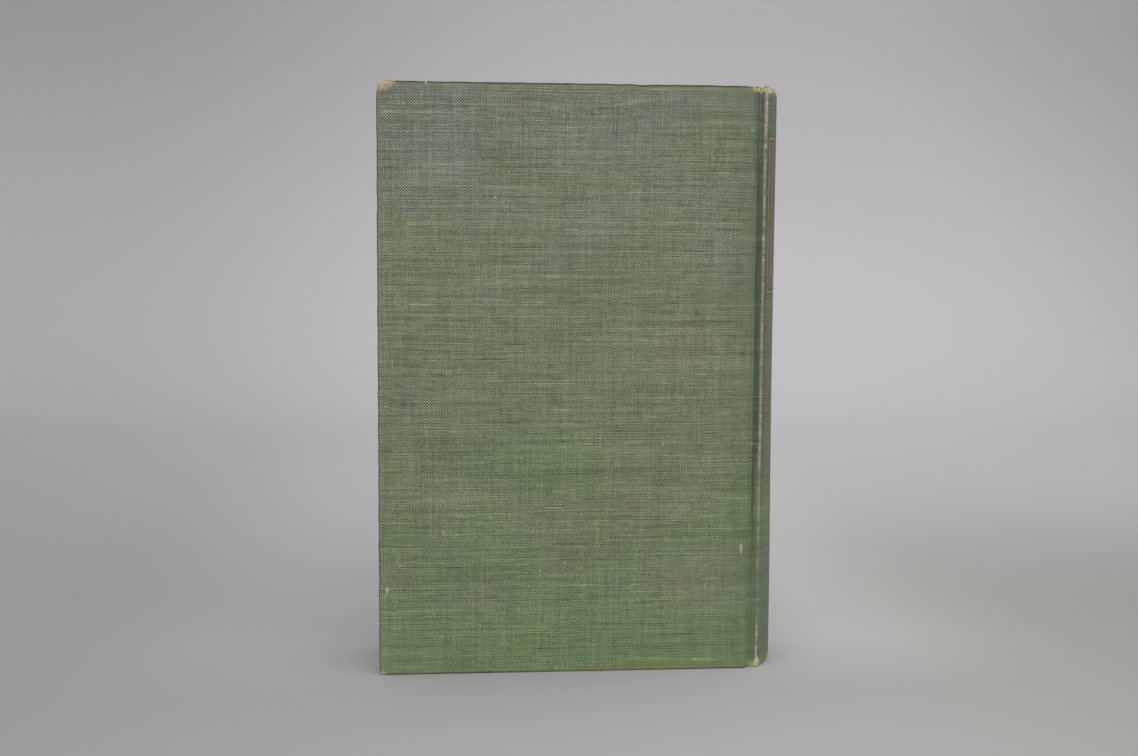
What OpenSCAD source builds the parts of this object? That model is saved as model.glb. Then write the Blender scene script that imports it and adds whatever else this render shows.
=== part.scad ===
// A cloth-bound hardback book that stands closed on its tail edge.
// It is a case binding: two boards and a spine inlay in one cloth, hung on a rounded and
// backed text block by the two cloth joints beside the spine.
// +Z is up, +X points to the spine, and the rear cover's outer face looks along -Y.
// The origin is the centre of the footprint, on the plane that the book stands on.

/* [Boards] */
// Width of a board, from its fore edge to its spine edge
board_w = 120; // [90:1:180]
// Height of a board, from its tail to its head
board_h = 190; // [150:1:260]
// Thickness of a board
board_t = 2.4; // [2:0.1:3.4]
// Rounding of a board's outer corner beside the joint
board_joint_r = 0.45; // [0.2:0.05:0.8]

/* [Cloth] */
// Thickness of the covering cloth with its paste
cloth_t = 0.35; // [0.25:0.05:0.45]
// Width of the cloth turned in over a board's edges
turn_in = 15; // [10:1:20]
// Rounding of the covered fore, head and tail edges
edge_r = 0.9; // [0.6:0.1:1.2]
// Worn rounding of the covers' fore corners at the head
head_corner_r = 2.2; // [1.2:0.1:4]
// Worn rounding of the covers' fore corners at the tail
tail_corner_r = 1.6; // [1.2:0.1:4]
// Width of the diagonal seam between two turn-ins
mitre_gap = 0.2; // [0.1:0.05:0.5]

/* [Joints and spine] */
// Distance from a board's spine edge to the bottom of the groove
groove_x_off = 2; // [1.6:0.1:2.4]
// Depth of the groove below the cover's outer face
groove_depth = 2.1; // [1.9:0.05:2.4]
// Distance from a board's spine edge to the crest of the spine's ridge
ridge_x_off = 3.9; // [3.7:0.1:4.6]
// Depth of the ridge's crest below the cover's outer face
ridge_drop = 1.2; // [1:0.05:1.4]
// Rounding of the ridge
ridge_r = 0.6; // [0.5:0.05:0.7]
// Radius of the rounded spine, over the cloth
spine_r = 24; // [21:0.5:30]
// Thickness of the card inlay in the spine
inlay_t = 0.5; // [0.3:0.05:0.6]
// Open space between the inlay and the lined back of the text block
hollow_gap = 0.35; // [0.2:0.05:0.5]

/* [Text block] */
// Thickness of all the pages together
pages_t = 28; // [22:1:34]
// How far the covers stand past the pages at the head and the tail
square = 3.2; // [2.5:0.1:5]
// How far the covers stand past the pages at the fore edge
fore_square = 3.6; // [3:0.1:6]
// Depth of the hollow in the fore edge
fore_hollow = 4.2; // [2:0.1:5]
// How far the backed shoulders stand out from the sides of the text block
shoulder_h = 0.8; // [0.5:0.05:0.9]
// Distance from a board's spine edge to the foot of the shoulder
shoulder_x_off = 0.85; // [0.5:0.05:1.2]
// Thickness of the muslin on the text block's back
mull_t = 0.2; // [0.15:0.05:0.3]
// Thickness of the paper lining over the muslin
lining_t = 0.25; // [0.15:0.05:0.35]
// How far the muslin and the lining stop short of the pages at each end
lining_inset = 12.5; // [12.5:0.5:25]

/* [Endpapers] */
// Thickness of a pastedown or a flyleaf
endpaper_t = 0.15; // [0.1:0.05:0.25]
// Margin of turned-in cloth left in view round a pastedown
endpaper_margin = 3.4; // [2:0.1:8]
// Space between a closed cover and its flyleaf
closed_gap = 0.1; // [0.05:0.05:0.3]

/* [Hidden] */

// Film of paste between curved layers
paste_t = 0.02;
// Extra reach of a cutting solid past what it cuts
over = 1;
// Steps in a small rounded corner, in the groove and the ridge, round the text block's
// back, and in its fore edge
corner_steps = 6;
groove_steps = 12;
back_steps = 60;
fore_steps = 32;
// Facets of a preview of a round face
$fn = 180;

// Overall sizes
cover_t = board_t + 2 * cloth_t;
total_h = board_h + 2 * cloth_t;
total_t = pages_t + 2 * (cover_t + 2 * endpaper_t + closed_gap);
half_t = total_t / 2;
half_pages = pages_t / 2;

// The spine's arc leaves the ridge at this angle from the middle of the spine
ridge_a = asin((half_t - ridge_drop - ridge_r) / (spine_r - ridge_r));
ridge_to_centre = (spine_r - ridge_r) * cos(ridge_a);
total_w = cloth_t + board_w + ridge_x_off - ridge_to_centre + spine_r;

// Places along the width
fore_x = -total_w / 2;
board_x = fore_x + cloth_t + board_w;
groove_x = board_x + groove_x_off;
ridge_x = board_x + ridge_x_off;
spine_c = [total_w / 2 - spine_r, 0];

// Places through the thickness, on the rear side
outer_y = -half_t;
board_in_y = outer_y + cloth_t + board_t;
cover_in_y = outer_y + cover_t;
floor_y = outer_y + groove_depth;

// Centres of the small arcs on the rear side: a board's joint corner and the ridge
roll_r = board_joint_r + cloth_t;
roll_c = [board_x - board_joint_r, outer_y + roll_r];
ridge_c = [ridge_x, outer_y + ridge_drop + ridge_r];

// The groove is two arcs that share its floor and touch the roll and the ridge
function groove_radius(away, below, r) = (away * away + below * below - r * r) / (2 * (r + below));
function bearing(from, to) = atan2(to[1] - from[1], to[0] - from[0]);
roll_side_r = groove_radius(groove_x - roll_c[0], floor_y - roll_c[1], roll_r);
ridge_side_r = groove_radius(ridge_c[0] - groove_x, floor_y - ridge_c[1], ridge_r);
roll_side_c = [groove_x, floor_y - roll_side_r];
ridge_side_c = [groove_x, floor_y - ridge_side_r];
roll_side_a = bearing(roll_side_c, roll_c);
ridge_side_a = bearing(ridge_side_c, ridge_c);
// The double cloth at the head and tail of a joint stops here, clear of the ridge
double_stop_a = 50;

// Layers of the spine, from the cloth inwards
inlay_out_r = spine_r - cloth_t - paste_t;
inlay_in_r = inlay_out_r - inlay_t;
spine_turn_out_r = inlay_in_r - paste_t;
spine_turn_in_r = spine_turn_out_r - cloth_t;
lining_out_r = inlay_in_r - hollow_gap;
lining_in_r = lining_out_r - lining_t;
mull_out_r = lining_in_r - paste_t;
mull_in_r = mull_out_r - mull_t;
back_r = mull_in_r - paste_t;
inlay_a = ridge_a - 0.5;

// The text block
page_z = square;
page_h = total_h - 2 * square;
page_x = fore_x + fore_square;
shoulder_x = board_x + shoulder_x_off;
shoulder_y = half_pages + shoulder_h;
shoulder_a = asin(shoulder_y / back_r);
shoulder_tip = spine_c + back_r * heading(shoulder_a);
fore_r = (half_pages * half_pages + fore_hollow * fore_hollow) / (2 * fore_hollow);
lining_z = page_z + lining_inset;
lining_h = page_h - 2 * lining_inset;
lining_a = shoulder_a - 3;

// Colours of the finished pieces
cloth_green = [0.36, 0.45, 0.36];
board_tan = [0.66, 0.55, 0.40];
paper_cream = [0.91, 0.87, 0.76];
mull_white = [0.88, 0.87, 0.82];
card_buff = [0.75, 0.66, 0.50];

// The direction that an angle points in
function heading(a) = [cos(a), sin(a)];

// Points along an arc from angle a0 to angle a1, or its centre if it has no radius
function arc(c, r, a0, a1, steps) = r <= 0 ? [c] :
    [for (i = [0:steps]) c + r * heading(a0 + (a1 - a0) * i / steps)];

// A rectangle with its own radius at each corner, from the lower left one round
function rounded(x0, y0, x1, y1, radii) = concat(
    arc([x0 + radii[0], y0 + radii[0]], radii[0], 180, 270, corner_steps),
    arc([x1 - radii[1], y0 + radii[1]], radii[1], 270, 360, corner_steps),
    arc([x1 - radii[2], y1 - radii[2]], radii[2], 0, 90, corner_steps),
    arc([x0 + radii[3], y1 - radii[3]], radii[3], 90, 180, corner_steps)
);

function reversed(points) = [for (i = [len(points) - 1:-1:0]) points[i]];

// The cloth's surface in the joint on the rear side, at a depth below its outer face.
// The roll side belongs to the cover, and the ridge side to the spine.
function roll_side(depth, from_a = roll_side_a) =
    arc(roll_side_c, roll_side_r + depth, from_a, 90, groove_steps);
function ridge_side(depth, to_a = ridge_side_a) =
    arc(ridge_side_c, ridge_side_r + depth, 90, to_a, groove_steps);
function ridge_roll(depth) =
    arc(ridge_c, ridge_r - depth, ridge_side_a - 180, -ridge_a, groove_steps);

// A flat outline in X and Z made into a slab across the thickness
module across_y(y0, y1) {
    translate([0, y1, 0]) rotate([90, 0, 0]) linear_extrude(y1 - y0) children();
}

// An outline in Y and Z made into a bar along the width
module along_x(x0, x1) {
    translate([x0, 0, 0]) rotate([90, 0, 90]) linear_extrude(x1 - x0) children();
}

// The whole front half of a symmetric piece is the mirror image of its rear half
module front_side() {
    mirror([0, 1, 0]) children();
}

// One layer of the spine, between two radii and as wide as twice the half angle
module spine_layer(inner_r, outer_r, half_a) {
    reach = outer_r / cos(half_a) + over;
    translate(spine_c) intersection() {
        difference() {
            circle(r = outer_r);
            circle(r = inner_r);
        }
        polygon([
            [0, 0],
            reach * heading(-half_a),
            reach * heading(0),
            reach * heading(half_a)
        ]);
    }
}

// A rear cover's board, with its edges softened and its fore corners worn round
module board_form() {
    spine_x = board_x;
    intersection() {
        linear_extrude(total_h) polygon(rounded(
            fore_x + cloth_t, outer_y + cloth_t, spine_x, board_in_y,
            [edge_r - cloth_t, board_joint_r, 0, edge_r - cloth_t]
        ));
        across_y(outer_y, cover_in_y) polygon(rounded(
            fore_x + cloth_t, cloth_t, spine_x, total_h - cloth_t,
            [tail_corner_r - cloth_t, 0, 0, head_corner_r - cloth_t]
        ));
        along_x(fore_x, groove_x) polygon(rounded(
            outer_y + cloth_t, cloth_t, board_in_y, total_h - cloth_t,
            [for (i = [0:3]) edge_r - cloth_t]
        ));
    }
}

// The outer form of a covered rear board, out to the bottom of the groove
module covered_form() {
    intersection() {
        linear_extrude(total_h) polygon(concat(
            arc([fore_x + edge_r, cover_in_y - edge_r], edge_r, 90, 180, corner_steps),
            arc([fore_x + edge_r, outer_y + edge_r], edge_r, 180, 270, corner_steps),
            arc(roll_c, roll_r, -90, roll_side_a - 180, corner_steps),
            roll_side(0),
            [[groove_x, cover_in_y]]
        ));
        across_y(outer_y, cover_in_y) polygon(rounded(
            fore_x, 0, groove_x, total_h, [tail_corner_r, 0, 0, head_corner_r]
        ));
        along_x(fore_x, groove_x) polygon(rounded(
            outer_y, 0, cover_in_y, total_h, [for (i = [0:3]) edge_r]
        ));
    }
}

// The space between the turn-ins, where the bare board shows until the pastedown goes on
module window_outline(inset) {
    translate([fore_x + turn_in + inset, turn_in + inset])
        square([groove_x + over - fore_x - turn_in - inset, total_h - 2 * (turn_in + inset)]);
}

// The open wedge under the cloth of the joint, between the board's edge and the groove
module joint_hollow() {
    under = roll_side(cloth_t);
    translate([0, 0, turn_in]) linear_extrude(total_h - 2 * turn_in) polygon(concat(
        [[board_x - board_joint_r / 2, under[0][1]]],
        under,
        [
            [groove_x + over, floor_y + cloth_t],
            [groove_x + over, cover_in_y + over],
            [board_x - board_joint_r / 2, cover_in_y + over]
        ]
    ));
}

// The diagonal seams where the turned-in cloth of the fore edge meets the head and the tail
module mitre_seams() {
    seam_l = turn_in * sqrt(2) + over;
    for (corner = [[0, 45], [total_h, -45]])
        translate([fore_x, board_in_y, corner[0]]) rotate([0, -corner[1], 0])
            translate([edge_r * 2, 0, -mitre_gap / 2])
                cube([seam_l, cloth_t + over, mitre_gap]);
}

// Cloth of a rear cover: over the outer face, round three edges, and half the joint
module cover_cloth() {
    color(cloth_green) difference() {
        covered_form();
        board_form();
        across_y(board_in_y, cover_in_y + over) window_outline(0);
        joint_hollow();
        mitre_seams();
    }
}

module cover_board() {
    color(board_tan) board_form();
}

// A pastedown lies on the turn-ins all round, and on the board in the window between them
module pastedown() {
    left = fore_x + endpaper_margin;
    color(paper_cream) difference() {
        translate([left, board_in_y, endpaper_margin])
            cube([board_x - left, cloth_t + endpaper_t, total_h - 2 * endpaper_margin]);
        across_y(board_in_y - over, cover_in_y) difference() {
            translate([fore_x - over, -over])
                square([total_w + 2 * over, total_h + 2 * over]);
            window_outline(0);
        }
        across_y(board_in_y + endpaper_t, cover_in_y + endpaper_t + over)
            window_outline(endpaper_t);
    }
}

// The free leaf of an endpaper, tipped to the side of the text block
module flyleaf() {
    color(paper_cream) translate([page_x, -half_pages - endpaper_t, page_z])
        cube([shoulder_x - page_x, endpaper_t, page_h]);
}

// The pages from above: a round back between two shoulders, and a hollow fore edge
module text_block() {
    fore_a = asin(half_pages / fore_r);
    color(paper_cream) translate([0, 0, page_z]) linear_extrude(page_h) polygon(concat(
        [[shoulder_x, -half_pages]],
        arc(spine_c, back_r, -shoulder_a, shoulder_a, back_steps),
        [[shoulder_x, half_pages]],
        arc([page_x + fore_hollow - fore_r, 0], fore_r, fore_a, -fore_a, fore_steps)
    ));
}

// The muslin is one strip round the back, with a flap at each side from the shoulder's
// tip down to the groove
module mull() {
    slope = shoulder_h / (shoulder_tip[0] - shoulder_x);
    foot_y = half_pages + slope * (groove_x - shoulder_x) + paste_t;
    color(mull_white) translate([0, 0, lining_z]) linear_extrude(lining_h) polygon(concat(
        [[groove_x, -foot_y - mull_t]],
        arc(spine_c, mull_out_r, -shoulder_a, shoulder_a, back_steps),
        [[groove_x, foot_y + mull_t], [groove_x, foot_y]],
        arc(spine_c, mull_in_r, shoulder_a, -shoulder_a, back_steps),
        [[groove_x, -foot_y]]
    ));
}

module spine_lining() {
    color(card_buff) translate([0, 0, lining_z]) linear_extrude(lining_h)
        spine_layer(lining_in_r, lining_out_r, lining_a);
}

module spine_inlay() {
    color(card_buff) translate([0, 0, cloth_t]) linear_extrude(board_h)
        spine_layer(inlay_in_r, inlay_out_r, inlay_a);
}

// The spine's half of the joint on the rear side: from the groove over the ridge
module joint_cloth() {
    linear_extrude(total_h) polygon(concat(
        ridge_side(0),
        ridge_roll(0),
        reversed(ridge_roll(cloth_t)),
        reversed(ridge_side(cloth_t))
    ));
    for (z = [0, total_h - turn_in])
        translate([0, 0, z]) linear_extrude(turn_in) polygon(concat(
            ridge_side(cloth_t / 2, double_stop_a),
            reversed(ridge_side(2 * cloth_t, double_stop_a))
        ));
}

// Cloth of the spine, turned in over the inlay at the head and the tail
module spine_cloth() {
    wrap_t = spine_r - spine_turn_in_r;
    color(cloth_green) {
        translate(spine_c) rotate([0, 0, -ridge_a]) rotate_extrude(angle = 2 * ridge_a)
            difference() {
                translate([spine_turn_in_r, 0]) square([wrap_t, total_h]);
                translate([spine_turn_out_r, cloth_t])
                    square([inlay_t + 2 * paste_t, board_h]);
                translate([spine_turn_in_r - over, turn_in])
                    square([over + cloth_t + inlay_t / 2, total_h - 2 * turn_in]);
            }
        joint_cloth();
        front_side() joint_cloth();
    }
}

text_block();
flyleaf();  // rear_flyleaf
front_side() flyleaf();  // front_flyleaf
mull();
spine_lining();
spine_inlay();
spine_cloth();
cover_board();  // rear_board
cover_cloth();  // rear_cloth
pastedown();  // rear_pastedown
front_side() cover_board();  // front_board
front_side() cover_cloth();  // front_cloth
front_side() pastedown();  // front_pastedown
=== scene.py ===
"""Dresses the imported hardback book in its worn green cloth, its papers and its leaves.

The book stands closed on its tail, with its rear cover towards the camera. The rear half of
the case is built along one section curve, from the middle of the spine over the ridge, the
groove and the board, and the front half is its mirror image. Sizes are in metres.
"""

import logging
import math
import random
from dataclasses import dataclass, field
from enum import Enum
from functools import reduce
from typing import Callable, Iterable, Sequence, Union

import bmesh
import bpy
from mathutils import Euler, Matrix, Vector, noise


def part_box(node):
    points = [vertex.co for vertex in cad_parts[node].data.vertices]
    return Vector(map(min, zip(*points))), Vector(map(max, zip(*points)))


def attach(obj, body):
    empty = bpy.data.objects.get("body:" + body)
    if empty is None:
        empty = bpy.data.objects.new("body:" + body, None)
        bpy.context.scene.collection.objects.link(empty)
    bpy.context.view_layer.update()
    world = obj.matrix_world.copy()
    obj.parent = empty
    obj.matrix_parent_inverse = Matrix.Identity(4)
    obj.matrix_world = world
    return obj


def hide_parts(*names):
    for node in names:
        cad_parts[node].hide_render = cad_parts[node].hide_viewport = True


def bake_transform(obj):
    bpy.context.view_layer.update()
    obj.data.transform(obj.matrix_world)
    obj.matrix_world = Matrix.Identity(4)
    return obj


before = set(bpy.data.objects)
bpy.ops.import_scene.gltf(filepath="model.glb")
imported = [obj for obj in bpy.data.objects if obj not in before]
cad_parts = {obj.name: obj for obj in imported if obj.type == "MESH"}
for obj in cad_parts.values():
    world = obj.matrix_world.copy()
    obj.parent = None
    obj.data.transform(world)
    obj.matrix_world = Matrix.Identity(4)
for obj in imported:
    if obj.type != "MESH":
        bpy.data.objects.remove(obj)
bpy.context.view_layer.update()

log = logging.getLogger("hardback")
MM = 0.001
LAY_MAP = "lay"

Colour = tuple[float, float, float, float]
Lay = tuple[float, float]
Term = Union["Link", float, Colour, tuple[float, float, float]]


def srgb(red: int, green: int, blue: int) -> Colour:
    """Turns a colour of 0 to 255 into the linear colour that a shader takes.

    Args:
        red: The red level.
        green: The green level.
        blue: The blue level.

    Returns:
        The linear colour with full alpha.
    """
    def linear(level: int) -> float:
        """Undoes the display curve of one level."""
        share = level / 255
        return share / 12.92 if share <= 0.04045 else ((share + 0.055) / 1.055) ** 2.4

    return linear(red), linear(green), linear(blue), 1.0


def smooth(low: float, high: float, value: float) -> float:
    """Eases from 0 at low to 1 at high.

    Args:
        low: Where the ease begins.
        high: Where it ends, above or below low.
        value: The value to ease.

    Returns:
        A share from 0 to 1.
    """
    share = min(max((value - low) / (high - low), 0.0), 1.0)
    return share * share * (3 - 2 * share)


def steps(start: float, end: float, longest: float) -> list[float]:
    """Divides a stretch evenly.

    Args:
        start: The first value.
        end: The last value.
        longest: The longest step allowed.

    Returns:
        The values from start to end, both included.
    """
    count = max(1, math.ceil(abs(end - start) / longest - 1e-6))
    return [start + (end - start) * i / count for i in range(count + 1)]


def graded(start: float, *runs: tuple[float, float]) -> list[float]:
    """Divides a stretch into runs, each with steps of its own.

    Args:
        start: The first value.
        runs: For each run, its last value and the longest step allowed.

    Returns:
        The values from the first to the last.
    """
    values = [start]
    for end, longest in runs:
        values += steps(start, end, longest)[1:]
        start = end
    return values


class Side(Enum):
    """A side of the book, with the sign of its Y."""

    REAR = -1
    FRONT = 1

    @property
    def word(self) -> str:
        """The word that names start with."""
        return self.name.lower()

    @property
    def cover(self) -> str:
        """The body that this side's cover is."""
        return f"{self.word}_cover"


class End(Enum):
    """An end of the book's height."""

    TAIL = -1
    HEAD = 1


class Slot(Enum):
    """Names of material slots, which the pieces built here don't take."""

    CLOTH = "book_cloth"
    PAGES = "pages"
    ENDPAPER = "endpaper"
    CARD = "spine_card"


class Link:
    """An output of a shader node that can stand in arithmetic.

    Values add Math nodes, and vectors add Vector Math nodes.
    """

    def __init__(self, graph: "Graph", socket: bpy.types.NodeSocket) -> None:
        """Wraps one output socket."""
        self.graph = graph
        self.socket = socket

    def _combine(self, operation: str, first: Term, second: Term) -> "Link":
        """Adds one node of arithmetic.

        Args:
            operation: The operation's name in Blender.
            first: The first operand.
            second: The second operand.

        Returns:
            The node's output.
        """
        sockets = {0: first, 1: second}
        if self.socket.type != "VECTOR":
            return self.graph.node("ShaderNodeMath", {"operation": operation}, sockets)
        spread = {k: (v,) * 3 if isinstance(v, (int, float)) else v for k, v in sockets.items()}
        return self.graph.node("ShaderNodeVectorMath", {"operation": operation}, spread)

    def __add__(self, other: Term) -> "Link":
        """Adds."""
        return self._combine("ADD", self, other)

    __radd__ = __add__

    def __sub__(self, other: Term) -> "Link":
        """Subtracts."""
        return self._combine("SUBTRACT", self, other)

    def __rsub__(self, other: Term) -> "Link":
        """Subtracts this from the other."""
        return self._combine("SUBTRACT", other, self)

    def __mul__(self, other: Term) -> "Link":
        """Multiplies."""
        return self._combine("MULTIPLY", self, other)

    __rmul__ = __mul__

    def __truediv__(self, other: Term) -> "Link":
        """Divides."""
        return self._combine("DIVIDE", self, other)

    def __abs__(self) -> "Link":
        """Drops the sign."""
        return self._combine("ABSOLUTE", self, 0.0)

    def floor(self) -> "Link":
        """Rounds down."""
        return self._combine("FLOOR", self, 0.0)

    def sine(self) -> "Link":
        """Takes the sine of radians."""
        return self._combine("SINE", self, 0.0)

    def most(self, other: Term) -> "Link":
        """Takes the larger of the two."""
        return self._combine("MAXIMUM", self, other)

    def least(self, other: Term) -> "Link":
        """Takes the smaller of the two."""
        return self._combine("MINIMUM", self, other)

    def ease(self, low: float, high: float) -> "Link":
        """Eases from 0 at low to 1 at high.

        Args:
            low: Where the ease begins.
            high: Where it ends, above or below low.

        Returns:
            A value from 0 to 1.
        """
        settings = {"interpolation_type": "SMOOTHSTEP"}
        return self.graph.node("ShaderNodeMapRange", settings, {0: self, 1: low, 2: high})

    def near(self, centre: float, half: float, blur: float) -> "Link":
        """Marks a band of values.

        Args:
            centre: The middle of the band.
            half: Half of its width.
            blur: How wide each of its edges is.

        Returns:
            1 inside the band and 0 outside it.
        """
        return abs(self - centre).ease(half + blur / 2, half - blur / 2)


class Graph:
    """The nodes of one material, written as Python expressions."""

    def __init__(self, name: str) -> None:
        """Starts an empty material.

        Args:
            name: The material's name.
        """
        self.material = bpy.data.materials.new(name)
        self.material.use_nodes = True
        self.tree = self.material.node_tree
        self.tree.nodes.clear()

    def node(self, kind: str, settings: dict, sockets: dict, out: Union[int, str] = 0) -> Link:
        """Adds a node.

        Args:
            kind: The node's type.
            settings: What is set on the node first. "stops" are a colour ramp's places and
                colours.
            sockets: Values or links, by the index or the name of their socket.
            out: The output to hand back, by index or name.

        Returns:
            That output.
        """
        added = self.tree.nodes.new(kind)
        for key, value in settings.items():
            if key == "stops":
                self._place_stops(added.color_ramp.elements, value)
            else:
                setattr(added, key, value)
        for key, value in sockets.items():
            if isinstance(value, Link):
                self.tree.links.new(value.socket, added.inputs[key])
            else:
                added.inputs[key].default_value = value
        return Link(self, added.outputs[out]) if added.outputs else Link(self, None)

    @staticmethod
    def _place_stops(elements: bpy.types.ColorRampElements, stops: Sequence) -> None:
        """Places a colour ramp's stops.

        Args:
            elements: The ramp's elements, two at first.
            stops: Pairs of a place and a colour.
        """
        while len(elements) < len(stops):
            elements.new(1.0)
        for element, (place, colour) in zip(elements, stops):
            element.position = place
            element.color = colour

    def lay(self) -> tuple[Link, Link]:
        """Reads where a point lies on its flat sheet.

        Returns:
            The two coordinates, in metres.
        """
        return self.split(self.node("ShaderNodeUVMap", {"uv_map": LAY_MAP}, {}))[:2]

    def place(self) -> Link:
        """Reads the point's place on its own object."""
        return self.node("ShaderNodeTexCoord", {}, {}, "Object")

    def vector(self, x: Term, y: Term, z: Term = 0.0) -> Link:
        """Puts three values together."""
        return self.node("ShaderNodeCombineXYZ", {}, {0: x, 1: y, 2: z})

    def split(self, vector: Link) -> tuple[Link, ...]:
        """Takes a vector apart into its three values."""
        parts = self.node("ShaderNodeSeparateXYZ", {}, {0: vector}).socket.node
        return tuple(Link(self, parts.outputs[axis]) for axis in range(3))

    def clouds(self, where: Link, size: float, detail: float = 2.0, rough: float = 0.5) -> Link:
        """Adds cloudy noise.

        Args:
            where: The coordinates to look it up at, in metres.
            size: The size of a cloud, in metres.
            detail: How many finer layers it has.
            rough: How strong the finer layers are.

        Returns:
            A value about 0.5, from 0 to 1.
        """
        sockets = {"Vector": where, "Scale": 1 / size, "Detail": detail, "Roughness": rough}
        return self.node("ShaderNodeTexNoise", {}, sockets)

    def mix(self, mask: Term, under: Term, over: Term, blend: str = "MIX") -> Link:
        """Lays one colour over another.

        Args:
            mask: How much of the upper colour shows.
            under: The lower colour.
            over: The upper colour.
            blend: How they are blended.

        Returns:
            The mixed colour.
        """
        settings = {"data_type": "RGBA", "blend_type": blend, "clamp_factor": True}
        return self.node("ShaderNodeMix", settings, {0: mask, 6: under, 7: over}, 2)

    def layers(self, colour: Term, *layers: tuple[Term, Colour], blend: str = "MIX") -> Link:
        """Lays colours over another, one after the other.

        Args:
            colour: The lowest colour.
            layers: How much of each colour shows, and the colour, from the lowest up.
            blend: How they are blended.

        Returns:
            The mixed colour.
        """
        for mask, over in layers:
            colour = self.mix(mask, colour, over, blend)
        return colour

    def ramp(self, value: Link, stops: Sequence[tuple[float, Colour]]) -> Link:
        """Colours a value by a ramp.

        Args:
            value: A value from 0 to 1.
            stops: Pairs of a place and a colour.

        Returns:
            The colour.
        """
        return self.node("ShaderNodeValToRGB", {"stops": stops}, {0: value})

    def bump(self, height: Link, depth: float, strength: float) -> Link:
        """Turns a height into a normal.

        Args:
            height: The height, from 0 to 1.
            depth: What a height of 1 stands for, in metres.
            strength: How strongly it shows.

        Returns:
            The bumped normal.
        """
        sockets = {"Height": height, "Distance": depth, "Strength": strength}
        return self.node("ShaderNodeBump", {}, sockets)

    def surface(self, sockets: dict) -> bpy.types.Material:
        """Ends the material in a Principled shader.

        Args:
            sockets: The shader's values or links, by name.

        Returns:
            The finished material.
        """
        shader = self.node("ShaderNodeBsdfPrincipled", {}, sockets)
        self.node("ShaderNodeOutputMaterial", {}, {"Surface": shader})
        return self.material


class Sheet:
    """Gathers patches of a surface and welds them into one object.

    Each corner of a face keeps where it lies on the flat sheet, in metres.
    """

    weld = 4e-6

    def __init__(self, name: str) -> None:
        """Starts an empty sheet.

        Args:
            name: The name of the piece to come.
        """
        self.name = name
        self.form = bmesh.new()
        self.lays = self.form.loops.layers.uv.new(LAY_MAP)

    def patch(self, points: Sequence[Sequence[Vector]], lays: Sequence[Sequence[Lay]]) -> None:
        """Adds a grid of quads.

        Args:
            points: Rows of points.
            lays: Where each point lies on the flat sheet, in the same rows.
        """
        verts = [[self.form.verts.new(p) for p in row] for row in points]
        for i in range(len(verts) - 1):
            for j in range(len(verts[i]) - 1):
                ring = [(i, j), (i + 1, j), (i + 1, j + 1), (i, j + 1)]
                face = self.form.faces.new([verts[a][b] for a, b in ring])
                face.smooth = True
                for loop, (a, b) in zip(face.loops, ring):
                    loop[self.lays].uv = lays[a][b]

    def grid(self, us: Sequence[float], vs: Sequence[float],
             point: Callable[[float, float], Vector],
             lay: Callable[[float, float], Lay]) -> None:
        """Adds a grid of quads over two runs of values.

        Args:
            us: The values of the rows.
            vs: The values of the points in a row.
            point: Places the point of two values.
            lay: Says where that point lies on the flat sheet.
        """
        self.patch([[point(u, v) for v in vs] for u in us], [[lay(u, v) for v in vs] for u in us])

    def tube(self, points: Sequence[Vector], radius: float, lay: Lay, sides: int = 5) -> None:
        """Adds a closed thread that narrows to its tip.

        Args:
            points: The thread's middle line, from its root to its tip.
            radius: Its radius at the root.
            lay: Where its root lies on the flat sheet.
            sides: How many sides it has.
        """
        rings = []
        for index, middle in enumerate(points):
            after = points[min(index + 1, len(points) - 1)]
            before = points[max(index - 1, 0)]
            across = (after - before).orthogonal().normalized()
            beside = (after - before).cross(across).normalized()
            width = radius * (1 - 0.6 * index / (len(points) - 1))
            turns = [2 * math.pi * k / sides for k in range(sides)]
            rings.append([
                self.form.verts.new(middle + width * (math.cos(t) * across + math.sin(t) * beside))
                for t in turns
            ])
        faces = [self.form.faces.new(list(reversed(rings[0]))), self.form.faces.new(rings[-1])]
        for low, high in zip(rings, rings[1:]):
            for k in range(sides):
                ring = [low[k], low[(k + 1) % sides], high[(k + 1) % sides], high[k]]
                faces.append(self.form.faces.new(ring))
        for face in faces:
            face.smooth = True
            for loop in face.loops:
                loop[self.lays].uv = lay

    def drop(self, worn: Callable[[Vector], bool]) -> None:
        """Takes away the faces whose middle is worn through.

        Args:
            worn: Says whether the cloth is gone at a place.
        """
        gone = [f for f in self.form.faces if worn(f.calc_center_median())]
        bmesh.ops.delete(self.form, geom=gone, context="FACES")

    def finish(self, outward: Vector, at: Vector, material: bpy.types.Material,
               thickness: float = 0.0) -> bpy.types.Object:
        """Welds the patches, turns the faces outward and gives the sheet its thickness.

        Args:
            outward: The direction that the face nearest to a place looks in.
            at: That place.
            material: What the sheet is made of.
            thickness: How thick the sheet is, measured inwards.

        Returns:
            The new object.
        """
        bmesh.ops.remove_doubles(self.form, verts=self.form.verts, dist=self.weld)
        bmesh.ops.recalc_face_normals(self.form, faces=self.form.faces)
        nearest = min(self.form.faces, key=lambda f: (f.calc_center_median() - at).length)
        if nearest.normal.dot(outward) < 0:
            bmesh.ops.reverse_faces(self.form, faces=self.form.faces)
        mesh = bpy.data.meshes.new(self.name)
        self.form.to_mesh(mesh)
        self.form.free()
        piece = bpy.data.objects.new(self.name, mesh)
        bpy.context.scene.collection.objects.link(piece)
        if thickness:
            solid = piece.modifiers.new("thickness", "SOLIDIFY")
            solid.thickness = thickness
            solid.offset = -1.0
            settle(piece)
        piece.data.materials.append(material)
        return piece


def settle(piece: bpy.types.Object) -> None:
    """Makes the result of a piece's modifiers its own mesh."""
    graph = bpy.context.evaluated_depsgraph_get()
    piece.data = bpy.data.meshes.new_from_object(piece.evaluated_get(graph))
    piece.modifiers.clear()


def tell(piece: bpy.types.Object) -> None:
    """Reports a finished piece."""
    log.info("%s: %d faces", piece.name, len(piece.data.polygons))


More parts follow.
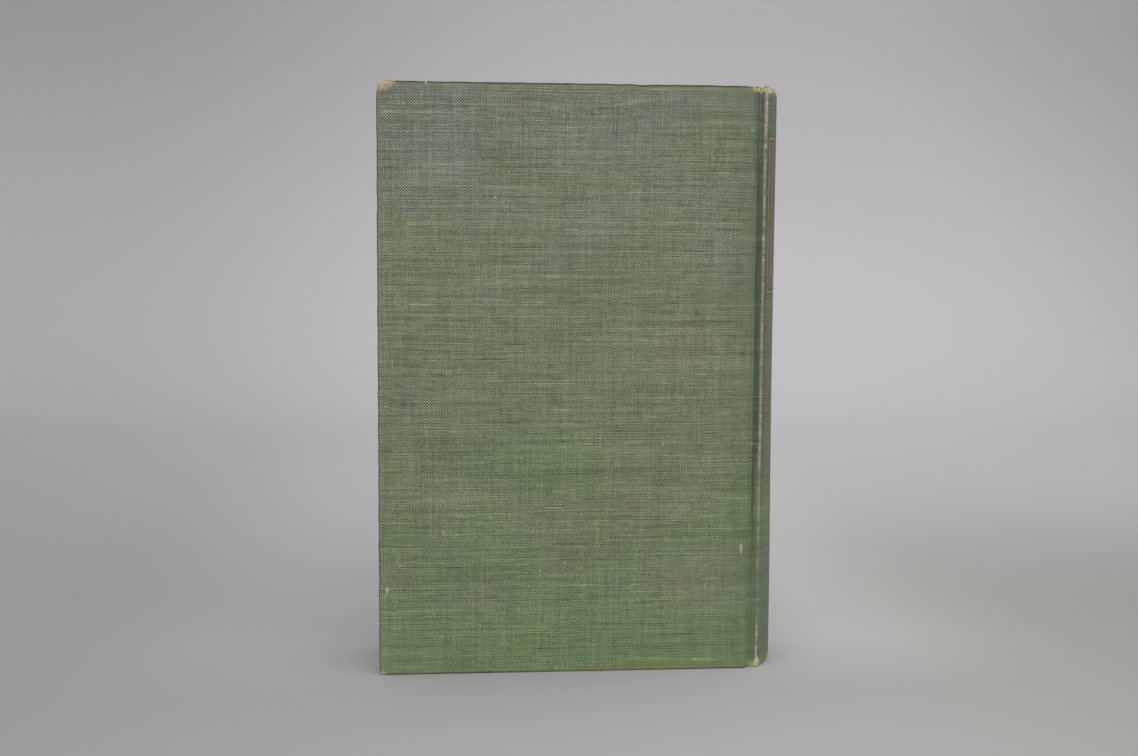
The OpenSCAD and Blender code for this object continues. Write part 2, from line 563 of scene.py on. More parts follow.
def bend_across(piece: bpy.types.Object, side: Side) -> None:
    """Bakes the place of a piece that joins the block to a cover into its mesh; the piece is
    not bent and not joined to either body.

    Args:
        piece: The piece.
        side: The side of the book.
    """
    if side is Side.FRONT:
        side.cover
        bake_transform(piece)
    else:
        side.cover
        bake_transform(piece)


@dataclass(frozen=True)
class Arc:
    """An arc of the section, passed from start to end.

    Args:
        x: X of its centre.
        y: Y of its centre.
        radius: Its radius.
        start: The angle where it starts, in degrees.
        end: The angle where it ends, in degrees.
        hollow: Whether its centre lies outside the book.
    """

    x: float
    y: float
    radius: float
    start: float
    end: float
    hollow: bool = False

    @property
    def length(self) -> float:
        """The length along the arc."""
        return self.radius * math.radians(abs(self.end - self.start))

    def at(self, along: float) -> tuple[Vector, Vector]:
        """Finds a point of the arc.

        Args:
            along: How far it is from the start.

        Returns:
            The point and the direction into the book, both in X and Y.
        """
        angle = math.radians(self.start + (self.end - self.start) * along / self.length)
        ray = Vector((math.cos(angle), math.sin(angle)))
        return Vector((self.x, self.y)) + self.radius * ray, ray if self.hollow else -ray


@dataclass(frozen=True)
class Case:
    """Sizes of the closed case on its rear side, and the section that its cloth follows.

    Args:
        fore_x: X of the covers' fore edge, over the cloth.
        board_x: X of a board's spine edge.
        spine_x: X of the middle of the spine, over the cloth.
        half_t: Half of the thickness over the two covers.
        height: Height over the cloth.
        board_t: Thickness of a board.
        cloth_t: Thickness of the cloth.
        turn_in: Width of the turned-in cloth.
        edge_r: Rounding of the covered edges.
        head_corner_r: Worn rounding of the fore corners at the head.
        tail_corner_r: Worn rounding of the fore corners at the tail.
        roll_r: Rounding of a covered board beside the joint.
        groove_off: From a board's spine edge to the bottom of the groove.
        groove_depth: Depth of the groove.
        ridge_off: From a board's spine edge to the crest of the ridge.
        ridge_drop: Depth of the ridge's crest.
        ridge_r: Rounding of the ridge.
        spine_r: Radius of the rounded spine.
        cap_t: Thickness of the cloth turned over the spine's inlay.
        cap_lean: How far the worn cap leans in at the head and the tail.
        cap_reach: The height over which it leans.
        cap_past: How far past the edge it would lean in full.
        shoulder_off: From a board's spine edge to the foot of the leaves' shoulder.
        back_r: Radius of the leaves' rounded back.
    """

    fore_x: float
    board_x: float
    spine_x: float
    half_t: float
    height: float
    board_t: float = 2.4 * MM
    cloth_t: float = 0.35 * MM
    turn_in: float = 15 * MM
    edge_r: float = 0.9 * MM
    head_corner_r: float = 2.2 * MM
    tail_corner_r: float = 1.6 * MM
    roll_r: float = 0.8 * MM
    groove_off: float = 2 * MM
    groove_depth: float = 2.1 * MM
    ridge_off: float = 3.9 * MM
    ridge_drop: float = 1.2 * MM
    ridge_r: float = 0.6 * MM
    spine_r: float = 24 * MM
    cap_t: float = 1.24 * MM
    cap_lean: float = 1.0 * MM
    cap_reach: float = 2.6 * MM
    cap_past: float = 0.4 * MM
    shoulder_off: float = 0.85 * MM
    back_r: float = 22.29 * MM

    @classmethod
    def measured(cls: type["Case"]) -> "Case":
        """Takes the case's outer sizes from the frame.

        Returns:
            The case's sizes.
        """
        low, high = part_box("rear_cloth")
        return cls(
            fore_x=low.x,
            board_x=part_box("rear_board")[1].x,
            spine_x=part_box("spine_cloth")[1].x,
            half_t=-low.y,
            height=high.z - low.z,
        )

    @property
    def cover_t(self) -> float:
        """Thickness of a covered board."""
        return self.board_t + 2 * self.cloth_t

    @property
    def outer_y(self) -> float:
        """Y of the rear cover's outer face."""
        return -self.half_t

    @property
    def inner_y(self) -> float:
        """Y of the turned-in cloth's face, inside the rear cover."""
        return self.cover_t - self.half_t

    @property
    def groove_x(self) -> float:
        """X of the bottom of the groove."""
        return self.board_x + self.groove_off

    @property
    def ridge_x(self) -> float:
        """X of the crest of the ridge."""
        return self.board_x + self.ridge_off

    @property
    def centre_x(self) -> float:
        """X of the middle of the spine's curve."""
        return self.spine_x - self.spine_r

    @property
    def shoulder_x(self) -> float:
        """X of the foot of the leaves' shoulder."""
        return self.board_x + self.shoulder_off

    def back_x(self, y: float) -> float:
        """Gives the X of the leaves' rounded back at a Y."""
        return self.centre_x + math.sqrt(self.back_r ** 2 - y ** 2)

    def cap_share(self, z: float) -> float:
        """Gives how much of its lean a worn cap has at a height."""
        return smooth(self.cap_reach, -self.cap_past, min(z, self.height - z)) ** 1.5

    def arcs(self) -> list[Arc]:
        """Works out the section from the middle of the spine to the flat of the board.

        Returns:
            The spine, the ridge, the two sides of the groove and the board's roll.
        """
        def groove_radius(away: float, below: float, radius: float) -> float:
            """Sizes an arc that touches a small circle and the groove's floor."""
            return (away ** 2 + below ** 2 - radius ** 2) / (2 * (radius + below))

        def bearing(x0: float, y0: float, x1: float, y1: float) -> float:
            """Gives the angle from one point to another, in degrees."""
            return math.degrees(math.atan2(y1 - y0, x1 - x0))

        floor = self.outer_y + self.groove_depth
        ridge_y = self.outer_y + self.ridge_drop + self.ridge_r
        roll_x = self.board_x - self.roll_r + self.cloth_t
        roll_y = self.outer_y + self.roll_r
        ridge_a = math.degrees(math.asin(-ridge_y / (self.spine_r - self.ridge_r)))
        ridge_side = groove_radius(self.ridge_x - self.groove_x, floor - ridge_y, self.ridge_r)
        roll_side = groove_radius(self.groove_x - roll_x, floor - roll_y, self.roll_r)
        up = bearing(self.groove_x, floor - ridge_side, self.ridge_x, ridge_y)
        down = bearing(self.groove_x, floor - roll_side, roll_x, roll_y)
        return [
            Arc(self.centre_x, 0.0, self.spine_r, 0.0, -ridge_a),
            Arc(self.ridge_x, ridge_y, self.ridge_r, -ridge_a, up - 180),
            Arc(self.groove_x, floor - ridge_side, ridge_side, up, 90, hollow=True),
            Arc(self.groove_x, floor - roll_side, roll_side, 90, down, hollow=True),
            Arc(roll_x, roll_y, self.roll_r, down - 180, -90),
        ]

    def bends(self) -> list[float]:
        """Gives how far along the cloth each arc ends, from the middle of the spine."""
        ends = [0.0]
        for arc in self.arcs():
            ends.append(ends[-1] + arc.length)
        return ends

    @property
    def ridge_u(self) -> float:
        """How far along the cloth the crest of the ridge is."""
        return (self.bends()[1] + self.bends()[2]) / 2

    @property
    def groove_u(self) -> float:
        """How far along the cloth the bottom of the groove is."""
        return self.bends()[3]

    @property
    def fore_u(self) -> float:
        """How far along the cloth the fore edge is."""
        last = self.arcs()[-1]
        return self.bends()[-1] + last.x - self.fore_x

    def from_fore(self, across: float) -> float:
        """Turns a distance from the fore edge into one along the cloth."""
        return self.fore_u - across

    def surface(self, u: float) -> tuple[Vector, Vector]:
        """Finds a point of the cloth's outer face in the section.

        Args:
            u: How far along the cloth it is.

        Returns:
            The point and the direction into the book, both in X and Y.
        """
        reached = 0.0
        for arc in self.arcs():
            if u <= reached + arc.length:
                return arc.at(u - reached)
            reached += arc.length
        x = self.arcs()[-1].x - (u - reached)
        return Vector((x, self.outer_y)), Vector((0.0, 1.0))

    def lining(self, u: float) -> tuple[Vector, Vector, float]:
        """Finds the wrapped edge across the section.

        Args:
            u: How far along the cloth it is.

        Returns:
            The outer point, the direction to the turned-in face, and the distance to it.
        """
        spine, ridge, floor, _, board = self.bends()[1:]
        point, inward = self.surface(u)
        crest = self.ridge_r - 0.05 * MM
        double = 2 * self.cloth_t
        if u <= spine:
            depth = crest + (self.cap_t - crest) * smooth(spine, spine - 1.5 * MM, u)
            return point, inward, depth
        if u <= ridge:
            return point, inward, crest
        if u <= floor:
            return point, inward, crest + (double - crest) * smooth(ridge, floor, u)
        share = min((u - floor) / (board - floor), 1.0)
        x = point.x if u > board else self.groove_x + (self.arcs()[-1].x - self.groove_x) * share
        floor_y = self.outer_y + self.groove_depth + double
        y = floor_y + (self.inner_y - floor_y) * smooth(0.0, 0.7, share)
        across = Vector((x, y)) - point
        return point, across.normalized(), across.length


def grain(seed: float, *place: float) -> float:
    """Looks up smooth noise, from about -1 to 1, with a seed of its own.

    Args:
        seed: Keeps this noise apart from others.
        place: Up to two coordinates, in units of the noise's size.

    Returns:
        The noise there.
    """
    first, second = (list(place) + [0.0])[:2]
    return noise.noise(Vector((first, second, seed)))


@dataclass
class CaseCloth:
    """One side of the covering cloth, from the middle of the spine to the turn-ins.

    Args:
        case: The case's sizes.
        side: The side of the book.
        row: The height of a row of faces.
        column: The width of a column on the board.
        wave: How far the board's face swells and sinks.
        dent: How far its edges are worn in and out.
        sag: How far the joint wanders in depth.
        fray: How far the cap's edge is worn down.
        nick_at: Where the head edge has a nick, from the fore edge.
        nick: How deep the nick is.
        knock: How far the head's fore corner is pushed in.
        swell: How far the spine swells towards the tail.
        head_hole: How wide the cloth is worn through at a fore corner of the head.
        tail_hole: How wide it is worn through at a fore corner of the tail.
        border: How far the flat of the sheet stays inside its edges, worked out.
    """

    case: Case
    side: Side
    row: float = 1.5 * MM
    column: float = 2.0 * MM
    wave: float = 0.12 * MM
    dent: float = 0.16 * MM
    sag: float = 0.14 * MM
    fray: float = 0.45 * MM
    nick_at: float = 83.6 * MM
    nick: float = 0.24 * MM
    knock: float = 0.34 * MM
    swell: float = 0.55 * MM
    head_hole: float = 1.5 * MM
    tail_hole: float = 0.9 * MM
    border: float = field(init=False)

    def __post_init__(self) -> None:
        """Keeps the flat of the sheet inside the rounded corners."""
        self.border = self.case.head_corner_r

    def columns(self) -> list[float]:
        """Lists the columns from the middle of the spine to the border at the fore edge."""
        start, *ends = self.case.bends()
        fine = [0.8 * MM, 0.13 * MM, 0.17 * MM, 0.19 * MM, 0.14 * MM]
        near, flat = ends[-1] + 3 * MM, self.case.fore_u - self.border
        columns = graded(start, *zip(ends, fine), (near, 0.6 * MM), (flat, self.column))
        columns[1:1] = [u * MM for u in (0.04, 0.14, 0.34)]
        return columns

    def rows(self) -> list[float]:
        """Lists the rows from the border at the tail to the border at the head."""
        return steps(self.border, self.case.height - self.border, self.row)

    def worn(self, u: float, z: float, out: Vector, into: Vector) -> Vector:
        """Works out how far wear and handling have moved a point.

        Args:
            u: How far along the cloth the point is.
            z: Its height.
            out: The direction out of the sheet's edge, in X and Z, or no direction.
            into: The direction into the book, in X and Y.

        Returns:
            The move, on the rear side.
        """
        case = self.case
        signed = u * self.side.value
        ends = case.bends()
        board = smooth(ends[-1], ends[-1] + 6 * MM, u)
        joint = smooth(ends[1] - 1 * MM, ends[2], u) * (1 - board)
        swell = grain(1, signed / (50 * MM), z / (50 * MM))
        swell += 0.3 * grain(2, signed / (9 * MM), z / (9 * MM))
        depth = self.wave * swell * (0.35 + 0.65 * board)
        depth += self.sag * joint * grain(3 * self.side.value, z / (14 * MM))
        cap = smooth(ends[1] + 0.5 * MM, ends[1] - 3 * MM, u)
        depth += cap * case.cap_lean * case.cap_share(z)
        low = smooth(100 * MM, 10 * MM, z)
        depth -= self.swell * smooth(ends[1] + 1 * MM, ends[1] - 4 * MM, u) * low
        move = Vector((into.x * depth, into.y * depth, 0.0))
        edge = self.dent * grain(5 * self.side.value, signed / (5 * MM), z / (5 * MM))
        edge += 0.4 * self.dent * grain(6, signed / (1.3 * MM), z / (1.3 * MM))
        move += edge * (0.3 + 0.7 * board) * Vector((out.x, 0.0, out.y))
        move += self.bruised(u, z, out)
        if z > case.height / 2:
            torn = max(cap, 0.6 * joint) * smooth(1.6 * MM, 0.0, case.height - z)
            ragged = 0.5 + 0.9 * grain(8, signed / (1.7 * MM))
            ragged += 0.5 * grain(9, signed / (0.6 * MM))
            move.z -= self.fray * torn * max(ragged, 0.0)
        return move

    def bruised(self, u: float, z: float, out: Vector) -> Vector:
        """Works out how far knocks have pushed the edges in.

        Args:
            u: How far along the cloth the point is.
            z: Its height.
            out: The direction out of the sheet's edge, in X and Z, or no direction.

        Returns:
            The move.
        """
        case = self.case
        across = case.fore_u - u
        corner = smooth(4.6 * MM, 1.0 * MM, math.hypot(across, case.height - z))
        move = Vector((self.knock * corner, 0.0, -0.1 * MM * corner))
        if self.side is Side.REAR and out.y > 0:
            step = smooth(self.nick_at - 1.6 * MM, self.nick_at, across)
            step *= smooth(self.nick_at + 6 * MM, self.nick_at, across)
            move.z -= self.nick * step * out.y
        return move

    def point(self, u: float, z: float, deep: float, out: Vector) -> Vector:
        """Places a point of the cloth.

        Args:
            u: How far along the cloth it is.
            z: Its height.
            deep: How far it is through the wrapped edge.
            out: The direction out of the sheet's edge, in X and Z, or no direction.

        Returns:
            The point, on this side of the book.
        """
        outer, into, _ = self.case.lining(u)
        flat = Vector((outer.x + into.x * deep, outer.y + into.y * deep, z))
        moved = flat + self.worn(u, z, out, into)
        return Vector((moved.x, moved.y * -self.side.value, moved.z))

    def profile(self, u: float) -> list[tuple[float, float]]:
        """Draws the wrapped edge, from the border of the outer face to the turn-in's edge.

        Args:
            u: How far along the cloth it is.

        Returns:
            Pairs of the distance in from the edge and the depth.
        """
        case = self.case
        thick = case.lining(u)[2]
        radius = min(case.edge_r, thick / 2 - 0.02 * MM)
        quarter = [math.radians(a) for a in (15, 30, 45, 60, 75, 90)]
        rings = [(self.border, 0.0), ((self.border + radius) / 2, 0.0), (radius, 0.0)]
        rings += [(radius * (1 - math.sin(a)), radius * (1 - math.cos(a))) for a in quarter]
        wall = steps(radius, thick - radius, (thick - 2 * radius) / 3)[1:]
        rings += [(0.0, deep) for deep in wall]
        rings += [(radius * (1 - math.cos(a)), thick - radius * (1 - math.sin(a))) for a in quarter]
        inner = (self.border, 3.6 * MM, 5.5 * MM, 8 * MM, 11.5 * MM, case.turn_in)
        return rings + [(inset, thick) for inset in inner]

    def edge_stations(self) -> list[tuple[float, float, Vector]]:
        """Walks round the sheet, from the spine along the head to the tail of the spine.

        Returns:
            For each station, the columns and rows of the border, and the direction out.
        """
        case = self.case
        fore, top = case.fore_u - self.border, case.height - self.border
        turn = [math.radians(a) for a in range(0, 91, 9)]
        head = [(u, top, Vector((0.0, 1.0))) for u in self.columns()]
        corner = [(fore, top, Vector((math.sin(a), math.cos(a)))) for a in turn[1:]]
        edge = [(fore, z, Vector((1.0, 0.0))) for z in reversed(self.rows())]
        lower = [(fore, self.border, Vector((math.cos(a), -math.sin(a)))) for a in turn[1:]]
        tail = [(u, self.border, Vector((0.0, -1.0))) for u in reversed(self.columns())]
        return head + corner + edge[1:] + lower + tail[1:]

    def edge_point(self, u: float, z: float, out: Vector, inset: float, deep: float) -> Vector:
        """Places a point of the wrapped edge.

        Args:
            u: The station's column on the border.
            z: Its row there.
            out: The direction out of the edge, along the cloth and up.
            inset: How far in from the edge the point is.
            deep: How far it is through the edge.

        Returns:
            The point, on this side of the book.
        """
        case = self.case
        free = smooth(self.border, case.edge_r, inset)
        corner_r = case.head_corner_r if z > case.height / 2 else case.tail_corner_r
        fore, top = case.fore_u, case.height
        if out.x * out.y:
            swing = max(corner_r - inset, 0.0)
            middle = max(corner_r, inset)
            u = fore - middle + swing * out.x
            z = (top - middle if out.y > 0 else middle) + swing * out.y
        elif out.x:
            limit = max(corner_r, inset)
            u = fore - inset
            z = min(max(z, limit), top - limit)
        else:
            u = min(u, fore - max(corner_r, inset))
            z = top - inset if out.y > 0 else inset
        return self.point(u, z, deep, free * Vector((-out.x, out.y)))

    def edge_patch(self) -> tuple[list[list[Vector]], list[list[Lay]]]:
        """Makes the wrapped edges and the turn-ins.

        Returns:
            Its points and where they lie.
        """
        points, lays = [], []
        for u, z, out in self.edge_stations():
            row, flat, passed, last = [], [], 0.0, None
            for inset, deep in self.profile(u):
                row.append(self.edge_point(u, z, out, inset, deep))
                if last is not None:
                    passed += math.dist(last, (inset, deep))
                last = (inset, deep)
                flat.append(((u + out.x * passed) * self.side.value, z + out.y * passed))
            points.append(row)
            lays.append(flat)
        return points, lays

    def hole(self, place: Vector) -> bool:
        """Says whether the cloth is worn through to the board at a corner of the cover.

        Args:
            place: Where on the cloth.

        Returns:
            Whether the cloth is gone there.
        """
        case = self.case
        depth = abs(place.y) - (case.half_t - case.cover_t)
        across = place.x - case.fore_x
        for up, size in ((case.height - place.z, self.head_hole), (place.z, self.tail_hole)):
            if math.hypot(across, up) < 2.4 * MM and 0.5 * MM < depth < 3.0 * MM:
                bite = grain(21 + self.side.value, place.y / MM, place.z / MM)
                return math.hypot(across, up) < size * (0.95 + 0.9 * bite)
        return False

    def build(self, cloth: bpy.types.Material) -> bpy.types.Object:
        """Builds this side's cloth and bakes its place.

        Args:
            cloth: Its material.

        Returns:
            The piece.
        """
        case, sign, still = self.case, self.side.value, Vector((0.0, 0.0))
        sheet = Sheet(f"{self.side.word}_case_cloth")
        sheet.grid(self.columns(), self.rows(), lambda u, z: self.point(u, z, 0.0, still),
                   lambda u, z: (u * sign, z))
        sheet.patch(*self.edge_patch())
        sheet.drop(self.hole)
        at = Vector((0.0, sign * case.half_t, case.height / 2))
        piece = sheet.finish(Vector((0.0, sign, 0.0)), at, cloth, case.cloth_t)
        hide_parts(f"{self.side.word}_cloth", "spine_cloth")
        self.hang(piece)
        return piece

    def hang(self, piece: bpy.types.Object) -> None:
        """Bakes a piece's place and reports it; the piece is not bent.

        Args:
            piece: The piece.
        """
        bend_across(piece, self.side)
        tell(piece)


@dataclass
class LooseThreads:
    """Frayed thread ends along the head and the tail of one side's cloth.

    Args:
        cloth: The cloth that they stand out of.
        radius: The radius of a thread.
        length: The length of the longest thread.
        cap_count: How many stand at each end of the spine.
        corner_count: How many stand at each fore corner.
    """

    cloth: CaseCloth
    radius: float = 0.07 * MM
    length: float = 1.3 * MM
    cap_count: int = 46
    corner_count: int = 16

    def build(self, thread: bpy.types.Material) -> bpy.types.Object:
        """Builds the threads.

        Args:
            thread: Their material.

        Returns:
            The piece.
        """
        case, side = self.cloth.case, self.cloth.side
        chance = random.Random(40 + side.value)
        sheet = Sheet(f"{side.word}_loose_threads")
        for end in End:
            for _ in range(self.cap_count):
                self._thread(sheet, chance, chance.uniform(0, case.groove_u), end)
            for _ in range(self.corner_count):
                across = chance.uniform(2.2, 4.6) * MM
                self._thread(sheet, chance, case.from_fore(across), end)
        piece = sheet.finish(Vector((0.0, 0.0, 1.0)), Vector((0.0, 0.0, case.height)), thread)
        self.cloth.hang(piece)
        return piece

    def _thread(self, sheet: Sheet, chance: random.Random, u: float, end: End) -> None:
        """Adds one thread that stands out of the wrapped edge.

        Args:
            sheet: Where it is added.
            chance: The source of its length and curl.
            u: How far along the cloth its root is.
            end: The end of the book's height.
        """
        case = self.cloth.case
        thick = case.lining(u)[2]
        deep = chance.uniform(0.05, 0.6) * thick
        head, inside = end is End.HEAD, 0.15 * MM
        z = case.height - inside if head else inside
        root = self.cloth.point(u, z, deep, Vector((0.0, 0.0)))
        along = Vector((chance.uniform(-1, 1), chance.uniform(-0.5, 0.5), 0.0))
        rise = Vector((0.0, 0.0, 1.0 if head else 0.0))
        reach = self.length * chance.uniform(0.3, 1.0)
        points = [root]
        for k in range(1, 5):
            share = k / 4
            curl = Vector((chance.uniform(-1, 1), chance.uniform(-1, 1), 0.0)) * 0.12
            step = (along * (0.6 + share) + rise * (0.55 - 0.5 * share) + curl).normalized()
            points.append(points[-1] + step * reach / 4)
        sheet.tube(points, self.radius, (u * self.cloth.side.value, z))


@dataclass
class Endpaper:
    """A folded endpaper: one half pasted to the cover, the other lying on the leaves.

    Args:
        case: The case's sizes.
        side: The side of the book.
        paper_t: Thickness of the paper.
        margin: Turned-in cloth left in view round the pasted half.
        step_w: How wide the paper's step over a turn-in's edge is.
        cockle: How far the free half swells.
        foot_gap: Air between the halves at the foot of the shoulder.
        fold_gap: Air between them at the fold.
        free_lay: How far along the flat sheet the free half lies.
        fold: Where the sheet folds, in X and Y, worked out.
        foot: Where the shoulder starts, in X and Y, worked out.
    """

    case: Case
    side: Side
    paper_t: float = 0.15 * MM
    margin: float = 3.4 * MM
    step_w: float = 1.6 * MM
    cockle: float = 0.03 * MM
    foot_gap: float = 0.10 * MM
    fold_gap: float = 0.02 * MM
    free_lay: float = 0.2
    fold: Vector = field(init=False)
    foot: Vector = field(init=False)

    def __post_init__(self) -> None:
        """Finds the shoulder that the sheet folds at, from the leaves in the frame."""
        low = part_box("rear_flyleaf")[0]
        block_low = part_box("text_block")[0]
        self.foot = Vector((self.case.shoulder_x, low.y))
        self.fold = Vector((self.case.back_x(block_low.y), block_low.y - self.paper_t))

    def leaf_y(self, x: float) -> float:
        """Gives the Y of the free half's outer face, on the rear side."""
        share = max((x - self.foot.x) / (self.fold.x - self.foot.x), 0.0)
        return self.foot.y + (self.fold.y - self.foot.y) * share

    def pasted_y(self, x: float, z: float) -> float:
        """Gives the Y of the pasted half's face, on the rear side.

        Args:
            x: Where along the width.
            z: The height.

        Returns:
            Y over the turn-ins, in the window between them, and down the joint.
        """
        case = self.case
        over = case.inner_y + self.paper_t
        inset = min(x - case.fore_x, z, case.height - z) - case.turn_in
        sunk = smooth(-0.3 * self.step_w, 0.7 * self.step_w, inset)
        flat = over - case.cloth_t * sunk * smooth(self.foot.x, case.board_x - 1.0 * MM, x)
        if x <= case.board_x:
            return flat
        share = (x - case.board_x) / (self.fold.x - case.board_x)
        gap = self.foot_gap + (self.fold_gap - self.foot_gap) * share
        return min(self.leaf_y(x) - gap, flat)

    def _finish(self, sheet: Sheet, paper: bpy.types.Material, outward: int) -> bpy.types.Object:
        """Finishes a half with its thickness and material.

        Args:
            sheet: The half's faces.
            paper: Its material.
            outward: 1 if its face looks out of the book, or -1 if it looks in.

        Returns:
            The piece.
        """
        facing = Vector((0.0, outward * self.side.value, 0.0))
        at = Vector((0.0, self.side.value * self.case.half_t, self.case.height / 2))
        piece = sheet.finish(facing, at, paper, self.paper_t)
        return piece

    def pastedown(self, paper: bpy.types.Material) -> bpy.types.Object:
        """Builds the pasted half, with the strip that crosses the joint to the fold.

        Args:
            paper: Its material.

        Returns:
            The piece.
        """
        case, sign = self.case, -self.side.value
        board, window = case.board_x, case.fore_x + case.turn_in
        low, top = case.turn_in, case.height - case.turn_in
        wide, fine = 2.5 * MM, 0.3 * MM
        xs = graded(
            case.fore_x + self.margin, (window - MM, wide), (window + 2 * MM, fine),
            (board - 2 * MM, wide), (self.fold.x, 0.25 * MM),
        )
        zs = graded(
            self.margin, (low - MM, wide), (low + 2 * MM, fine), (top - 2 * MM, wide),
            (top + MM, fine), (case.height - self.margin, wide),
        )
        sheet = Sheet(f"{self.side.word}_pasted_endpaper")
        sheet.grid(xs, zs, lambda x, z: Vector((x, sign * self.pasted_y(x, z), z)),
                   lambda x, z: (x, z))
        piece = self._finish(sheet, paper, -1)
        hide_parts(f"{self.side.word}_pastedown")
        y = sign * self.fold.y
        bend_across(piece, self.side)
        tell(piece)
        return piece

    def flyleaf(self, paper: bpy.types.Material) -> bpy.types.Object:
        """Builds the free half, from its fore edge up the shoulder to the fold.

        Args:
            paper: Its material.

        Returns:
            The piece.
        """
        low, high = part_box(f"{self.side.word}_flyleaf")
        sign = -self.side.value

        def place(x: float, z: float) -> Vector:
            """Places a point of the free half."""
            free = smooth(self.foot.x, self.foot.x - 20 * MM, x)
            swell = grain(30 + sign, x / (35 * MM), z / (28 * MM))
            return Vector((x, sign * (self.leaf_y(x) + self.cockle * free * swell), z))

        xs = graded(low.x, (self.foot.x - MM, 2.5 * MM), (self.fold.x, 0.3 * MM))
        sheet = Sheet(f"{self.side.word}_free_endpaper")
        sheet.grid(xs, steps(low.z, high.z, 2.5 * MM), place, lambda x, z: (x + self.free_lay, z))
        piece = self._finish(sheet, paper, 1)
        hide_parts(f"{self.side.word}_flyleaf")
        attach(piece, "block")
        tell(piece)
        return piece


@dataclass
class Leaves:
    """The text block: sewn leaves with a round back, shoulders and a hollow fore edge.

    Args:
        case: The case's sizes.
        hollow: Depth of the hollow in the fore edge.
        leaf: The width of one column of faces across the leaves.
        gathering: Thickness of one folded gathering.
        ripple: How far single leaves stand out of the edges.
        stagger: How far gatherings stand out of the edges.
    """

    case: Case
    hollow: float = 4.2 * MM
    leaf: float = 0.16 * MM
    gathering: float = 1.55 * MM
    ripple: float = 0.05 * MM
    stagger: float = 0.09 * MM

    def build(self, paper: bpy.types.Material) -> bpy.types.Object:
        """Builds the leaves as one solid.

        Args:
            paper: Their material.

        Returns:
            The piece.
        """
        low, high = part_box("text_block")
        half = -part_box("rear_flyleaf")[1].y
        foot, tip = self.case.shoulder_x, self.case.back_x(low.y)
        flare = -low.y / half - 1
        radius = (half ** 2 + self.hollow ** 2) / (2 * self.hollow)
        middle = low.x + self.hollow - radius
        leaves = steps(-half, half, self.leaf)
        shares = graded(0.0, (0.9, 0.06), (1.0, 0.02))
        zs = graded(low.z, (low.z + 2 * MM, MM), (high.z - 2 * MM, 6 * MM), (high.z, MM))

        def proud(leaf: float, seed: int) -> float:
            """Says how far one leaf stands out of an edge, each edge with a seed of its own."""
            fold = math.floor(leaf / self.gathering)
            single = grain(50 + seed, leaf / (0.21 * MM), seed)
            return self.stagger * grain(60 + seed, fold * 3.7) + self.ripple * single

        def place(leaf: float, share: float, z: float) -> Vector:
            """Places a point of the block.

            Args:
                leaf: Which leaf, by its Y at the fore edge.
                share: How far it is from the fore edge to the back.
                z: Its height.

            Returns:
                The point.
            """
            inner = math.sqrt(radius ** 2 - leaf ** 2) + middle
            inner -= proud(leaf, 3) * (1 - share) if share < 0.5 else 0.0
            outer = self.case.back_x(leaf * (1 + flare))
            x = inner + (outer - inner) * share
            fan = 1 + flare * min(max((x - foot) / (tip - foot), 0.0), 1.0)
            rise = 0.0
            if z >= high.z - 1e-6:
                rise = -abs(proud(leaf, 1)) * smooth(0.0, 0.02, min(share, 1.0 - share))
            elif z <= low.z + 1e-6:
                rise = abs(proud(leaf, 2)) * smooth(0.0, 0.02, min(share, 1.0 - share))
            return Vector((x, leaf * fan, z + rise))

        sheet = Sheet("sewn_leaves")
        for z in (low.z, high.z):
            sheet.grid(leaves, shares, lambda leaf, share: place(leaf, share, z),
                       lambda leaf, share: (leaf, share * 0.12 + z))
        for share in (0.0, 1.0):
            sheet.grid(leaves, zs, lambda leaf, z: place(leaf, share, z),
                       lambda leaf, z: (leaf, z + share))
        for leaf in (-half, half):
            sheet.grid(shares, zs, lambda share, z: place(leaf, share, z),
                       lambda share, z: (leaf, z + 2 + share * 0.1))
        piece = sheet.finish(Vector((0.0, 0.0, 1.0)), Vector((0.0, 0.0, high.z)), paper)
        for polygon in piece.data.polygons:
            polygon.use_smooth = False
        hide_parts("text_block")
        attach(piece, "block")
        tell(piece)
        return piece


@dataclass
class SpineInlay:
    """The card strip inside the spine's cloth, leaning in with the worn caps.

    Args:
        case: The case's sizes.
        card_t: Thickness of the card.
        paste_t: Film of paste outside it.
        edge: How far its side edges stay from the ridge.
        clear: How far its ends stay inside the frame's.
    """

    case: Case
    card_t: float = 0.5 * MM
    paste_t: float = 0.02 * MM
    edge: float = 0.4 * MM
    clear: float = 0.25 * MM

    def build(self, card: bpy.types.Material) -> bpy.types.Object:
        """Builds the strip.

        Args:
            card: Its material.

        Returns:
            The piece.
        """
        case = self.case
        half = case.bends()[1] - self.edge
        low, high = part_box("spine_inlay")

        def place(u: float, z: float) -> Vector:
            """Places a point of the card."""
            point, into = case.surface(abs(u))
            here = point + into * (case.cloth_t + self.paste_t + case.cap_lean * case.cap_share(z))
            return Vector((here.x, here.y if u < 0 else -here.y, z))

        zs = graded(
            low.z + self.clear, (low.z + 3 * MM, 0.5 * MM), (high.z - 3 * MM, 10 * MM),
            (high.z - self.clear, 0.5 * MM),
        )
        sheet = Sheet("spine_card")
        sheet.grid(steps(-half, half, 1.2 * MM), zs, place, lambda u, z: (u, z))
        at = Vector((case.spine_x, 0.0, case.height / 2))
        piece = sheet.finish(Vector((1.0, 0.0, 0.0)), at, card, self.card_t)
        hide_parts("spine_inlay")
        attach(piece, "block")
        tell(piece)
        return piece


@dataclass(frozen=True)
class Mark:
    """One mark of wear on the rear cover.

    Args:
        across: Its distance from the fore edge.
        up: Its height above the tail.
        half_w: Half of its width.
        half_h: Half of its height.
        strength: How strongly it shows.
    """

    across: float
    up: float
    half_w: float
    half_h: float
    strength: float = 1.0


